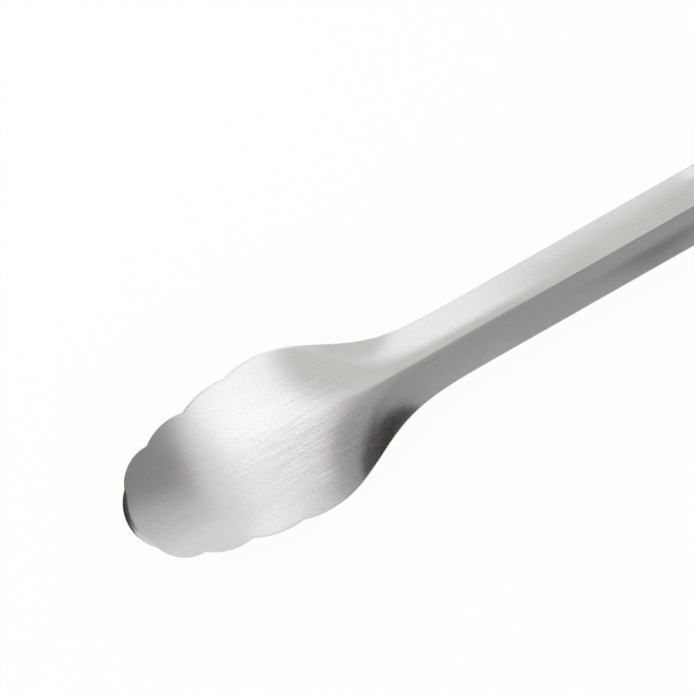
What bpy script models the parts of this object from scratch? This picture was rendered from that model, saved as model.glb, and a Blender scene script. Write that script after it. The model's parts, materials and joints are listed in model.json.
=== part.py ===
"""Hinged serving tongs of pressed stainless sheet, lying closed on the back of the lower arm.

The tongs lie along X with the scalloped tips towards -X and the pull loop towards +X. They open
along Z, about a cross rivet on a Y axis. The origin is on the table, under the middle of the box
round the whole tongs. Lengths are in metres.

Along an arm, "run" is the distance from its tip. Across it, "depth" is how far the outer face has
dropped from the crown, towards the other arm.
"""

import math

import bmesh
import bpy
from mathutils import Matrix, Vector

MM = 0.001

# The whole tongs
OVERALL_LENGTH = 228.6 * MM  # tip to the end of the pull loop, with the lock pushed in
SHEET = 1.0 * MM  # wall of the pressed arms
GAP = 0.3 * MM  # between faces that touch or slide on the real tongs
OVERRUN = 5.0 * MM  # how far a cutter reaches past what it cuts
PIVOT_DEPTH = 8.5 * MM  # crown of an arm to the hinge axis: half the closed thickness
OPEN_ANGLE = math.radians(24.0)  # travel of the upper arm
STOP_PLAY = math.radians(1.5)  # left at full travel before the heels meet the web

# The head: a shallow bowl, trimmed to scallops
HEAD_HALF_WIDTH = 22.0 * MM
HEAD_RUN = 47.0 * MM  # tip to the widest place
NOTCH_RUN_SHARES = (0.082, 0.304, 0.566, 0.849)  # of HEAD_RUN, where two scallops meet
NOTCH_WIDTH_SHARES = (0.395, 0.709, 0.841, 0.947)  # of HEAD_HALF_WIDTH, at the same places
SCALLOP_RISE_SHARES = (0.160, 0.110, 0.080)  # rise of each side scallop, of its chord
BOWL_DEPTH = 5.0 * MM  # drop of the rim at the widest place
BOWL_POWER = 2.3  # how flat the middle of the bowl is
TIP_RUN = 44.0 * MM  # length over which the front of the head curls inwards
TIP_POWER = 3.0
TIP_CLEARANCE = 0.25 * MM  # each tip to the middle plane, besides the slope of its edge
LIP_DROP = 1.0 * MM  # sharper curl right at the tip scallop
LIP_RUN = 2.0 * MM

# The neck and the handle: a soft roof section
HANDLE_HALF_WIDTH = 9.2 * MM
NECK_FALL = 23.65 * MM  # length that sets how fast the head narrows
NECK_POWER = 2.3
NECK_RUN = 50.0 * MM  # from the widest place to where the handle is parallel
BLEND_LEAD = 5.0 * MM  # bowl turns to roof from this far before the widest place
BLEND_RUN = 40.0 * MM
ROOF_DEPTH = 5.0 * MM
RIDGE_SOFT_SHARE = 0.28  # roundness of the ridge, of the half width

# The tail: a channel whose cheeks grow into ears round the rivet
TAIL_RUN = 7.8 * MM  # hinge axis to the end of the web
CHANNEL_LEAD = 16.0 * MM  # the full channel starts this far before the hinge axis
CHANNEL_BLEND = 30.0 * MM  # length over which the roof turns to the channel
CORNER_RADIUS = 1.8 * MM  # outside of the bend between web and cheek
CHEEK_DEPTH = 7.0 * MM
EAR_RADIUS = 6.6 * MM
EAR_SLOPE = math.radians(30.0)  # of the ear's front edge

# The hinge
RIVET_RADIUS = 1.7 * MM
RIVET_HEAD_RADIUS = 3.6 * MM
RIVET_HEAD_RISE = 1.1 * MM
RIVET_RIM = 0.4 * MM  # straight edge of the head, below its dome
SLEEVE_WALL = 0.6 * MM
SPRING_WIRE = 1.2 * MM
SPRING_BORE_GAP = 0.4 * MM  # coil to sleeve
SPRING_COIL_GAP = 0.45 * MM  # coil to coil
SPRING_TURNS = 3
SPRING_LEG = 20.0 * MM  # reach of each leg ahead of the hinge axis
SPRING_LEG_GAP = 0.4 * MM  # leg tip to web

# The lock loop: a strip folded to a U in plan, cut to a profile from the side
LOCK_TRAVEL = 8.0 * MM
STRIP = 1.0 * MM
LOCK_MARGIN = 1.8 * MM  # metal ahead of the latch pin
LOCK_FRONT_HALF = 4.2 * MM
LOCK_TAPER = 3.3 * MM  # length over which the plates narrow, behind the hinge axis
NECK_HALF = 3.0 * MM
LOOP_REACH = 16.6 * MM  # hinge axis to the end of the loop, pushed in

# The latch pin across the front of the lock. With the tongs closed and the loop pulled out it
# lies in a notch in each ear. With the tongs fully open it lies clear, just ahead of the ears.
LATCH_RUN = 9.5 * MM  # hinge axis to the pin, pulled out
LATCH_RADIUS = 0.7 * MM
LATCH_CHAMFER = 0.2 * MM
COLLAR_RADIUS = 1.2 * MM  # thicker middle of the pin, between the side plates

# Facets
TIP_STEPS = 6
SCALLOP_STEPS = 6
SHOULDER_STEPS = 4
NECK_STEPS = 14
HANDLE_STEPS = 4
CHANNEL_STEPS = 9
LOBE_STEPS = 4
HEEL_STEPS = 2
ROUND_STEPS = 32
BEND_STEPS = 24
CURL_POINTS = 9
# Places across an arm, from the ridge to the edge, as shares of the half width
ACROSS_SHARES = (0.0, 0.10, 0.20, 0.31, 0.43, 0.55, 0.67, 0.78, 0.88, 0.95, 1.0)
WEB_SHARES = (0.0, 0.25, 0.5, 0.75, 1.0)  # the same places in the channel: over the flat of the web
CORNER_TURN_SHARES = (0.33, 0.67, 1.0)  # over the quarter turn of the bend
CHEEK_SHARES = (0.33, 0.67, 1.0)  # down the cheek

# Worked out from the sizes above
TIP_X = -OVERALL_LENGTH / 2
HINGE_X = OVERALL_LENGTH / 2 - LOOP_REACH
HINGE_RUN = HINGE_X - TIP_X
NEST_HALF_WIDTH = HANDLE_HALF_WIDTH - SHEET - GAP  # outside of the lower arm's cheeks
INNER_HALF = NEST_HALF_WIDTH - SHEET  # inside of them
BORE_RADIUS = RIVET_RADIUS + GAP
SLEEVE_RADIUS = BORE_RADIUS + SLEEVE_WALL
TIP_DROP = PIVOT_DEPTH - SHEET - LIP_DROP - TIP_CLEARANCE
STOP_ANGLE = OPEN_ANGLE + STOP_PLAY
HEEL_RISE = (PIVOT_DEPTH - CORNER_RADIUS - TAIL_RUN * math.sin(STOP_ANGLE)) / math.cos(STOP_ANGLE)
LOCK_HALF = INNER_HALF - GAP  # outside of the lock's side plates
LATCH_HOLE_RADIUS = LATCH_RADIUS + GAP
LOCK_FRONT = LATCH_RUN + LOCK_TRAVEL + LATCH_HOLE_RADIUS + LOCK_MARGIN  # reach ahead of the hinge


def smooth(low, high, value):
    """0 below low, 1 above high, with a smooth S between."""
    share = min(1.0, max(0.0, (value - low) / (high - low)))
    return share * share * (3.0 - 2.0 * share)


def notches():
    """The places where two scallops meet, as (run, half width), from the tip."""
    return [
        (HEAD_RUN * run, HEAD_HALF_WIDTH * width)
        for run, width in zip(NOTCH_RUN_SHARES, NOTCH_WIDTH_SHARES)
    ]


def tip_radius():
    """Radius of the tip scallop, an arc through the tip and the first pair of notches."""
    run, half = notches()[0]
    return (run * run + half * half) / (2.0 * run)


def scallop_half_width(run, start, end, rise_share):
    """Half width on the arc that bulges from the chord between two notches."""
    chord = Vector(end) - Vector(start)
    rise = chord.length * rise_share
    radius = (chord.length ** 2 / 4.0 + rise ** 2) / (2.0 * rise)
    middle = (Vector(start) + Vector(end)) / 2.0
    centre = middle + chord.normalized().orthogonal() * (rise - radius)
    return centre.y + math.sqrt(max(0.0, radius ** 2 - (run - centre.x) ** 2))


def half_width(run):
    """Half width of the pressed arm at a run, before the tail is drawn in."""
    marks = notches()
    if run <= marks[0][0]:
        radius = tip_radius()
        return math.sqrt(max(0.0, radius ** 2 - (radius - run) ** 2))
    for start, end, rise_share in zip(marks, marks[1:], SCALLOP_RISE_SHARES):
        if run <= end[0]:
            return scallop_half_width(run, start, end, rise_share)
    if run <= HEAD_RUN:
        share = (HEAD_RUN - run) / (HEAD_RUN - marks[-1][0])
        return HEAD_HALF_WIDTH - (HEAD_HALF_WIDTH - marks[-1][1]) * share ** 2
    fall = math.exp(-(((run - HEAD_RUN) / NECK_FALL) ** NECK_POWER))
    return HANDLE_HALF_WIDTH + (HEAD_HALF_WIDTH - HANDLE_HALF_WIDTH) * fall


def bowl_depth(run, across):
    """Drop of the head's outer face: a flat-bottomed bowl whose tip curls inwards."""
    side = BOWL_DEPTH * (abs(across) / HEAD_HALF_WIDTH) ** BOWL_POWER
    tip = TIP_DROP * max(0.0, 1.0 - run / TIP_RUN) ** TIP_POWER
    radius = tip_radius()
    from_edge = radius - math.hypot(radius - run, across)
    fade = max(0.0, 1.0 - run / notches()[0][0])
    lip = LIP_DROP * min(1.0, max(0.0, 1.0 - from_edge / LIP_RUN)) ** 2 * fade
    return side + tip + lip


def roof_depth(share):
    """Drop of the handle's outer face at a share of its half width: a roof with a soft ridge."""
    soft = RIDGE_SOFT_SHARE
    return ROOF_DEPTH * (math.hypot(share, soft) - soft) / (math.hypot(1.0, soft) - soft)


def ear_depth(run):
    """Depth of the cheeks' edge: level, then up a slope, over the ear and down to its heel."""
    ahead = run - HINGE_RUN
    if ahead >= 0.0:
        return PIVOT_DEPTH + EAR_RADIUS - (EAR_RADIUS - HEEL_RISE) * ahead / TAIL_RUN
    tangent = -EAR_RADIUS * math.sin(EAR_SLOPE)
    if ahead >= tangent:
        return PIVOT_DEPTH + math.sqrt(EAR_RADIUS ** 2 - ahead ** 2)
    top = PIVOT_DEPTH + EAR_RADIUS * math.cos(EAR_SLOPE)
    return max(CHEEK_DEPTH, top + (ahead - tangent) * math.tan(EAR_SLOPE))


def ear_start():
    """Run at which the cheeks' edge starts to rise to the ear."""
    top = PIVOT_DEPTH + EAR_RADIUS * math.cos(EAR_SLOPE)
    return HINGE_RUN - EAR_RADIUS * math.sin(EAR_SLOPE) - (top - CHEEK_DEPTH) / math.tan(EAR_SLOPE)


def arch_section(run):
    """Half of the outer face across the head or the handle, as (across, depth) points."""
    half = half_width(run)
    roof = smooth(HEAD_RUN - BLEND_LEAD, HEAD_RUN - BLEND_LEAD + BLEND_RUN, run)
    return [
        (half * share, (1.0 - roof) * bowl_depth(run, half * share) + roof * roof_depth(share))
        for share in ACROSS_SHARES
    ]


def channel_section(run, half):
    """Half of the outer face across the tail: flat web, bend and upright cheek."""
    flat = half - CORNER_RADIUS
    edge = ear_depth(run)
    points = [(flat * share, 0.0) for share in WEB_SHARES]
    for share in CORNER_TURN_SHARES:
        turn = share * math.pi / 2
        rise = CORNER_RADIUS * (1.0 - math.cos(turn))
        points.append((flat + CORNER_RADIUS * math.sin(turn), rise))
    for share in CHEEK_SHARES:
        points.append((half, CORNER_RADIUS + (edge - CORNER_RADIUS) * share))
    return points


def section(run, tail_half):
    """Half of the outer face across an arm whose tail is drawn in to tail_half."""
    start = HINGE_RUN - CHANNEL_LEAD - CHANNEL_BLEND
    channel = smooth(start, start + CHANNEL_BLEND, run)
    arch = arch_section(run)
    if channel == 0.0:
        return arch
    square = channel_section(run, tail_half)
    return [
        (a[0] + (b[0] - a[0]) * channel, a[1] + (b[1] - a[1]) * channel)
        for a, b in zip(arch, square)
    ]


def spread(low, high, count):
    """count runs after low, evenly spaced, the last at high."""
    return [low + (high - low) * step / count for step in range(1, count + 1)]


def stations():
    """The runs at which an arm has a section, from just after its tip to the end of its web."""
    marks = notches()
    radius = tip_radius()
    turn = math.asin(marks[0][1] / radius)
    runs = [radius * (1.0 - math.cos(angle)) for angle in spread(0.0, turn, TIP_STEPS)]
    for start, end in zip(marks, marks[1:]):
        runs += spread(start[0], end[0], SCALLOP_STEPS)
    runs += spread(runs[-1], HEAD_RUN, SHOULDER_STEPS)
    runs += spread(HEAD_RUN, HEAD_RUN + NECK_RUN, NECK_STEPS)
    channel_end = HINGE_RUN - CHANNEL_LEAD
    runs += spread(runs[-1], channel_end - CHANNEL_BLEND, HANDLE_STEPS)
    runs += spread(runs[-1], channel_end, CHANNEL_STEPS)
    lobe = HINGE_RUN - EAR_RADIUS * math.sin(EAR_SLOPE)
    runs += spread(runs[-1], ear_start(), 1)
    runs += spread(runs[-1], lobe, LOBE_STEPS)
    runs += spread(lobe, HINGE_RUN, LOBE_STEPS)
    runs += spread(HINGE_RUN, HINGE_RUN + TAIL_RUN, HEEL_STEPS)
    return runs


def mesh_object(name, bm, collection, material=None):
    """A new object from a bmesh, shaded smooth up to a sharp bend."""
    mesh = bpy.data.meshes.new(name)
    bm.to_mesh(mesh)
    bm.free()
    mesh.shade_smooth()
    mesh.set_sharp_from_angle(angle=math.radians(35.0))
    obj = bpy.data.objects.new(name, mesh)
    collection.objects.link(obj)
    if material:
        mesh.materials.append(material)
    return obj


def steel(name, colour, roughness):
    """A bare metal with its own colour and roughness."""
    material = bpy.data.materials.new(name)
    material.use_nodes = True
    shader = material.node_tree.nodes["Principled BSDF"]
    shader.inputs["Base Color"].default_value = (*colour, 1.0)
    shader.inputs["Metallic"].default_value = 1.0
    shader.inputs["Roughness"].default_value = roughness
    return material


def cut(obj, cutter, operation="DIFFERENCE"):
    """Adds an exact Boolean to an object and marks its cutter as a guide."""
    cutter.hide_render = True
    cutter.display_type = "WIRE"
    modifier = obj.modifiers.new(cutter.name, "BOOLEAN")
    modifier.operation = operation
    modifier.object = cutter
    modifier.solver = "EXACT"


def cross_cylinder(name, radius, length, place, collection, material=None):
    """A cylinder along Y, centred on a place."""
    bm = bmesh.new()
    bmesh.ops.create_cone(
        bm,
        cap_ends=True,
        segments=ROUND_STEPS,
        radius1=radius,
        radius2=radius,
        depth=length,
        matrix=Matrix.Rotation(math.pi / 2, 4, "X"),
    )
    obj = mesh_object(name, bm, collection, material)
    obj.location = place
    return obj


def make_arm(name, tail_half, material, parts):
    """One pressed arm, crown up, with its origin on the hinge axis.

    The outer face is lofted through the sections from the tip, where it closes to one point, and
    Solidify gives the sheet its wall on the inside.
    """
    bm = bmesh.new()
    tip = bm.verts.new((-HINGE_RUN, 0.0, PIVOT_DEPTH - bowl_depth(0.0, 0.0)))
    previous = None
    for run in stations():
        half = section(run, tail_half)
        row = [(-across, depth) for across, depth in reversed(half[1:])] + half
        ring = [
            bm.verts.new((run - HINGE_RUN, across, PIVOT_DEPTH - depth))
            for across, depth in row
        ]
        for index in range(len(ring) - 1):
            if previous is None:
                bm.faces.new((tip, ring[index], ring[index + 1]))
            else:
                corners = previous[index], ring[index], ring[index + 1], previous[index + 1]
                bm.faces.new(corners)
        previous = ring
    bmesh.ops.triangulate(bm, faces=bm.faces)
    bmesh.ops.recalc_face_normals(bm, faces=bm.faces)
    if sum(face.normal.z * face.calc_area() for face in bm.faces) < 0.0:
        bmesh.ops.reverse_faces(bm, faces=bm.faces)
    obj = mesh_object(name, bm, parts, material)
    wall = obj.modifiers.new("wall", "SOLIDIFY")
    wall.thickness = SHEET
    wall.offset = -1.0
    wall.use_even_offset = True
    return obj


def turned(name, profile, collection, material):
    """A solid turned about Y from a closed (radius, along) profile that starts on the axis."""
    bm = bmesh.new()
    verts = [bm.verts.new((radius, 0.0, along)) for radius, along in profile]
    for first, second in zip(verts, verts[1:]):
        bm.edges.new((first, second))
    obj = mesh_object(name, bm, collection, material)
    screw = obj.modifiers.new("turn", "SCREW")
    screw.axis = "Z"
    screw.steps = ROUND_STEPS
    screw.render_steps = ROUND_STEPS
    screw.use_merge_vertices = True
    screw.merge_threshold = GAP / 1000.0
    obj.rotation_euler = (math.pi / 2, 0.0, 0.0)
    return obj


def make_rivet(material, parts):
    """The cross rivet: a plain shank with a domed head outside each upper cheek."""
    seat = HANDLE_HALF_WIDTH + GAP
    end = seat + RIVET_HEAD_RISE
    rim = seat + RIVET_RIM
    dome = []
    for share in (1.0, 0.75, 0.5, 0.25):
        height = rim + (end - rim) * (1.0 - share ** 2)
        dome.append((RIVET_HEAD_RADIUS * share, height))
    top = [(0.0, end)] + dome[::-1] + [(RIVET_HEAD_RADIUS, seat), (RIVET_RADIUS, seat)]
    bottom = [(radius, -along) for radius, along in reversed(top)]
    return turned("hinge_rivet", top + bottom, parts, material)


def make_sleeve(material, parts, cutters):
    """The tube that keeps the inner ears apart."""
    length = 2.0 * (INNER_HALF - GAP)
    hinge = (HINGE_X, 0.0, PIVOT_DEPTH)
    sleeve = cross_cylinder("spacer_sleeve", SLEEVE_RADIUS, length, hinge, parts, material)
    bore = cross_cylinder("sleeve_bore", BORE_RADIUS, length + OVERRUN, hinge, cutters)
    cut(sleeve, bore)
    return sleeve


def spring_points():
    """The middle line of the torsion spring round the hinge axis: leg, coils, leg."""
    mean = SLEEVE_RADIUS + SPRING_BORE_GAP + SPRING_WIRE / 2
    rise = PIVOT_DEPTH - SHEET - SPRING_LEG_GAP - SPRING_WIRE / 2
    reach = math.hypot(SPRING_LEG, rise)
    leave = math.atan2(rise, -SPRING_LEG) - math.acos(mean / reach)
    total = SPRING_TURNS * 2.0 * math.pi + 2.0 * leave
    pitch = SPRING_WIRE + SPRING_COIL_GAP
    width = pitch * total / (2.0 * math.pi)
    steps = round(CURL_POINTS * total / (2.0 * math.pi))
    points = [Vector((-SPRING_LEG, -width / 2, -rise))]
    for step in range(steps + 1):
        share = step / steps
        angle = -leave + total * share
        across = width * (share - 0.5)
        points.append(Vector((mean * math.cos(angle), across, mean * math.sin(angle))))
    points.append(Vector((-SPRING_LEG, width / 2, rise)))
    return points


def least_gap(points, diameter):
    """The least distance between parts of a tube that aren't neighbours along it."""
    away = CURL_POINTS // 2
    spans = [
        (first - second).length
        for index, first in enumerate(points)
        for second in points[index + away:]
    ]
    return min(spans) - diameter


def make_spring(material, parts):
    """The torsion spring, one unbroken wire."""
    points = spring_points()
    gap = least_gap(points, SPRING_WIRE)
    print(f"torsion_spring: least gap to itself {gap / MM:.2f} mm")
    curve = bpy.data.curves.new("torsion_spring", "CURVE")
    curve.dimensions = "3D"
    curve.bevel_depth = SPRING_WIRE / 2
    curve.bevel_resolution = 1
    curve.use_fill_caps = True
    spline = curve.splines.new("POLY")
    spline.points.add(len(points) - 1)
    for point, place in zip(spline.points, points):
        point.co = (*place, 1.0)
    curve.materials.append(material)
    obj = bpy.data.objects.new("torsion_spring", curve)
    obj.location = (HINGE_X, 0.0, PIVOT_DEPTH)
    parts.objects.link(obj)
    return obj


def flat_outline(name, points, thickness, collection, material=None):
    """A closed outline in a plane, extruded equally to both sides, as a mesh."""
    curve = bpy.data.curves.new(name, "CURVE")
    curve.dimensions = "2D"
    curve.fill_mode = "BOTH"
    curve.extrude = thickness / 2
    spline = curve.splines.new("POLY")
    spline.points.add(len(points) - 1)
    for point, place in zip(spline.points, points):
        point.co = (*place, 0.0, 1.0)
    spline.use_cyclic_u = True
    source = bpy.data.objects.new(name, curve)
    bpy.context.scene.collection.objects.link(source)
    bpy.context.view_layer.update()
    graph = bpy.context.evaluated_depsgraph_get()
    mesh = bpy.data.meshes.new_from_object(source.evaluated_get(graph))
    bpy.data.objects.remove(source)
    bm = bmesh.new()
    bm.from_mesh(mesh)
    bpy.data.meshes.remove(mesh)
    bmesh.ops.remove_doubles(bm, verts=bm.verts, dist=GAP / 100.0)
    bmesh.ops.recalc_face_normals(bm, faces=bm.faces)
    return mesh_object(name, bm, collection, material)


def loop_plan():
    """The strip seen from above: two side plates joined by a half-round bend."""
    front = -LOCK_FRONT
    centre = LOOP_REACH - LOCK_HALF
    turns = [math.pi / 2 - math.pi * step / BEND_STEPS for step in range(BEND_STEPS + 1)]
    inner = LOCK_HALF - STRIP
    outside = [(centre + LOCK_HALF * math.cos(turn), LOCK_HALF * math.sin(turn)) for turn in turns]
    inside = [(centre + inner * math.cos(turn), inner * math.sin(turn)) for turn in turns]
    return [(front, LOCK_HALF)] + outside + [(front, -LOCK_HALF), (front, -inner)] + inside[::-1] + [
        (front, inner)
    ]


def lock_profile():
    """The strip seen from the side: slotted front and slim neck, the same above and below."""
    chamfer = LOCK_FRONT_HALF / 3
    upper = [
        (-LOCK_FRONT, LOCK_FRONT_HALF - chamfer),
        (-LOCK_FRONT + chamfer, LOCK_FRONT_HALF),
        (0.0, LOCK_FRONT_HALF),
        (LOCK_TAPER, NECK_HALF),
        (LOOP_REACH + OVERRUN, NECK_HALF),
    ]
    return upper + [(along, -height) for along, height in reversed(upper)]


def slot_outline(back, radius):
    """A slot as long as the lock's travel, round at both ends, from its back centre forwards."""
    points = []
    for centre, start in ((back, -math.pi / 2), (back - LOCK_TRAVEL, math.pi / 2)):
        for step in range(ROUND_STEPS // 2 + 1):
            turn = start + math.pi * step / (ROUND_STEPS // 2)
            points.append((centre + radius * math.cos(turn), radius * math.sin(turn)))
    return points


def cross_cutter(name, outline, width, cutters):
    """A cutter across the tongs at the hinge, from an outline seen from the side."""
    cutter = flat_outline(name, outline, width, cutters)
    cutter.rotation_euler = (math.pi / 2, 0.0, 0.0)
    cutter.location = (HINGE_X, 0.0, PIVOT_DEPTH)
    return cutter


def make_lock(material, parts, cutters):
    """The lock loop: the plan outline, trimmed to the side profile, slotted and drilled."""
    hinge = Vector((HINGE_X, 0.0, PIVOT_DEPTH))
    lock = flat_outline("lock_loop", loop_plan(), 2.0 * PIVOT_DEPTH, parts, material)
    lock.location = hinge
    width = 2.0 * LOCK_HALF + OVERRUN
    cut(lock, cross_cutter("lock_profile", lock_profile(), width, cutters), "INTERSECT")
    cut(lock, cross_cutter("lock_slot", slot_outline(0.0, SLEEVE_RADIUS + GAP), width, cutters))
    cut(lock, cross_cylinder("latch_hole", LATCH_HOLE_RADIUS, width, hinge + latch_place(), cutters))
    return lock


def latch_place():
    """The latch pin's place from the hinge axis, with the lock pushed in."""
    return Vector((-LATCH_RUN - LOCK_TRAVEL, 0.0, 0.0))


def make_latch_pin(material, parts):
    """The stepped pin: its collar lies between the lock's plates, its ends reach both cheeks."""
    end = HANDLE_HALF_WIDTH
    collar = LOCK_HALF - STRIP - GAP
    top = [
        (0.0, end),
        (LATCH_RADIUS - LATCH_CHAMFER, end),
        (LATCH_RADIUS, end - LATCH_CHAMFER),
        (LATCH_RADIUS, collar),
        (COLLAR_RADIUS, collar),
    ]
    bottom = [(radius, -along) for radius, along in reversed(top)]
    return turned("latch_pin", top + bottom, parts, material)


def build():
    """Builds every piece in its place, with the tongs closed and the lock pushed in."""
    for old in list(bpy.data.objects):
        bpy.data.objects.remove(old)
    parts = bpy.data.collections.new("serving_tongs")
    cutters = bpy.data.collections.new("cutters")
    for collection in (parts, cutters):
        bpy.context.scene.collection.children.link(collection)

    hinge = Vector((HINGE_X, 0.0, PIVOT_DEPTH))
    bore = cross_cylinder("ear_bore", BORE_RADIUS, 2.0 * HEAD_HALF_WIDTH, hinge, cutters)
    brushed = steel("brushed_steel", (0.62, 0.62, 0.61), 0.32)
    brushed_inner = steel("brushed_steel_lower", (0.60, 0.60, 0.59), 0.34)

    upper = make_arm("upper_arm", HANDLE_HALF_WIDTH, brushed, parts)
    upper.location = hinge
    lower = make_arm("lower_arm", NEST_HALF_WIDTH, brushed_inner, parts)
    lower.location = hinge
    lower.rotation_euler = (math.pi, 0.0, 0.0)
    notch = slot_outline(-LATCH_RUN, LATCH_HOLE_RADIUS)
    notches_cut = cross_cutter("ear_notches", notch, 2.0 * HEAD_HALF_WIDTH, cutters)
    for arm in (upper, lower):
        cut(arm, bore)
        cut(arm, notches_cut)

    rivet = make_rivet(steel("rivet_steel", (0.66, 0.66, 0.65), 0.18), parts)
    rivet.location = hinge
    make_sleeve(steel("sleeve_steel", (0.58, 0.58, 0.57), 0.30), parts, cutters)
    make_spring(steel("spring_steel", (0.52, 0.52, 0.51), 0.25), parts)
    make_lock(steel("lock_steel", (0.60, 0.60, 0.59), 0.28), parts, cutters)
    latch = make_latch_pin(steel("latch_steel", (0.63, 0.63, 0.62), 0.22), parts)
    latch.location = hinge + latch_place()


build()
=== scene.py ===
"""Looks of a pair of hinged serving tongs in brushed stainless steel.

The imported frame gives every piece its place. Each class below builds one piece of the tongs as a
fine mesh in that place and dresses it, and the studio adds the floor, the lights and the camera.
Lengths are in metres. Along an arm, "run" is the distance from its tip. Across it, "depth" is how
far the outer face has dropped from the crown, towards the other arm.
"""

from __future__ import annotations

import json
import logging
import math
from dataclasses import dataclass, field
from enum import Enum

import bmesh
import bpy
from mathutils import Matrix, Vector


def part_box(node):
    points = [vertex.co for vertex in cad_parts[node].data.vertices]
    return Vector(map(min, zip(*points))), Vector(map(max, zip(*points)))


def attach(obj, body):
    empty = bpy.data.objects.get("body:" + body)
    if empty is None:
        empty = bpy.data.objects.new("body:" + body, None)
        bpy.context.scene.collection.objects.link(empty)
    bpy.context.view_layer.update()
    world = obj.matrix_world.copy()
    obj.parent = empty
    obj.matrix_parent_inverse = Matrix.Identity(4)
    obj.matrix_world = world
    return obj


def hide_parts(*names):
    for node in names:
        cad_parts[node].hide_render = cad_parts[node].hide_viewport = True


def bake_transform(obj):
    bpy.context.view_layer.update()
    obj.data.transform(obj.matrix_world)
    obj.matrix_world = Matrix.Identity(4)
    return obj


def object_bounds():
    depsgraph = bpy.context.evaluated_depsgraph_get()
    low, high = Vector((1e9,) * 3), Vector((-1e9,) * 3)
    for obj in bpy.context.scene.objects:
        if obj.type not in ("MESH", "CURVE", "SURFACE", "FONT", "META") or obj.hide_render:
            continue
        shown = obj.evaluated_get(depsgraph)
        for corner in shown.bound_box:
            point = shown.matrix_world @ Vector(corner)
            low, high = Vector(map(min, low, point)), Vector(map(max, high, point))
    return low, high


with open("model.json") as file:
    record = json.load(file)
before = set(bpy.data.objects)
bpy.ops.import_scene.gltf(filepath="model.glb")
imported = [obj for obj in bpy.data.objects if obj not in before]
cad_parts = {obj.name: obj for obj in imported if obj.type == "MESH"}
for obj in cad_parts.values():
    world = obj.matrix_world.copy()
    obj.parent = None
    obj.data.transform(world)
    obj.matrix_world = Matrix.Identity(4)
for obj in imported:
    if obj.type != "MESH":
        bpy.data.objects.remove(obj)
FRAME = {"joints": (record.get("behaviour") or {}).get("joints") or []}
CAD_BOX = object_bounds()

MM = 0.001
LOG = logging.getLogger("serving_tongs")
GRAIN_UV = "grain"
Point2 = tuple[float, float]
Point3 = tuple[float, float, float]
Corners = tuple[Point3, Point3, Point3, Point3]

# The long brush lines: how many there are for each short one, and where their noise is read.
LONG_LINES_ALONG = 0.075
LONG_LINES_ACROSS = 0.95
LONG_LINES_LAYER = 7.3

# Hairline marks: their slant to the grain, how far they are drawn out, and where they lie.
MARK_TURN = math.radians(24.0)
MARK_STRETCH = 0.10
MARK_PATCH_SCALE = 0.6
MARK_PATCH_START = 0.56

# Edges of the small pieces that are sharper than this aren't shaded smooth.
SHARP_ANGLE = math.radians(40.0)


class Side(Enum):
    """Which of the two arms a piece is, by the way its crown faces."""

    UPPER = 1.0
    LOWER = -1.0


def smooth(low: float, high: float, value: float) -> float:
    """A smooth S from 0 at low to 1 at high.

    Args:
        low: value below which the result is 0.
        high: value above which the result is 1.
        value: where to read the S.

    Returns:
        A share from 0 to 1.
    """
    share = min(1.0, max(0.0, (value - low) / (high - low)))
    return share * share * (3.0 - 2.0 * share)


def spread(low: float, high: float, count: int) -> list[float]:
    """Evenly spaced values after low, up to and with high.

    Args:
        low: the value before the first.
        high: the last value.
        count: how many values.

    Returns:
        The values in order.
    """
    return [low + (high - low) * step / count for step in range(1, count + 1)]


@dataclass(frozen=True)
class NodeKit:
    """Short calls that add and link shader nodes in one node tree."""

    tree: bpy.types.NodeTree

    def add(self, kind: str, **settings: object) -> bpy.types.Node:
        """Adds a node.

        Args:
            kind: the node's type name.
            settings: properties to set on it.

        Returns:
            The new node.
        """
        node = self.tree.nodes.new(kind)
        for name, value in settings.items():
            setattr(node, name, value)
        return node

    def link(self, source: bpy.types.NodeSocket, target: bpy.types.NodeSocket) -> None:
        """Links two sockets."""
        self.tree.links.new(source, target)

    def math(
        self,
        operation: str,
        first: bpy.types.NodeSocket | float,
        second: bpy.types.NodeSocket | float | None = None,
    ) -> bpy.types.NodeSocket:
        """A Math node.

        Args:
            operation: the node's operation.
            first: a socket or a number.
            second: a socket or a number, where the operation takes two.

        Returns:
            The node's result.
        """
        node = self.add("ShaderNodeMath", operation=operation)
        for socket, value in zip(node.inputs, (first, second)):
            if isinstance(value, bpy.types.NodeSocket):
                self.link(value, socket)
            elif value is not None:
                socket.default_value = value
        return node.outputs[0]

    def noise(self, vector: bpy.types.NodeSocket, scale: float, detail: float) -> bpy.types.NodeSocket:
        """A noise value over a vector.

        Args:
            vector: where the noise is read.
            scale: its scale.
            detail: its octaves.

        Returns:
            The noise value, about 0 to 1.
        """
        node = self.add("ShaderNodeTexNoise", noise_dimensions="3D")
        node.inputs["Scale"].default_value = scale
        node.inputs["Detail"].default_value = detail
        self.link(vector, node.inputs["Vector"])
        return node.outputs[0]


def new_group(
    name: str, inputs: dict[str, tuple[str, float | None]], outputs: tuple[str, ...]
) -> tuple[bpy.types.NodeTree, NodeKit, bpy.types.Node, bpy.types.Node]:
    """A shader node group with named sockets.

    Args:
        name: the group's name.
        inputs: socket name to its type and default value.
        outputs: names of its float outputs.

    Returns:
        The group, its NodeKit, its input node and its output node.
    """
    group = bpy.data.node_groups.new(name, "ShaderNodeTree")
    for label, (kind, default) in inputs.items():
        socket = group.interface.new_socket(name=label, in_out="INPUT", socket_type=kind)
        if default is not None:
            socket.default_value = default
    for label in outputs:
        group.interface.new_socket(name=label, in_out="OUTPUT", socket_type="NodeSocketFloat")
    kit = NodeKit(group)
    return group, kit, kit.add("NodeGroupInput"), kit.add("NodeGroupOutput")


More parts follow.
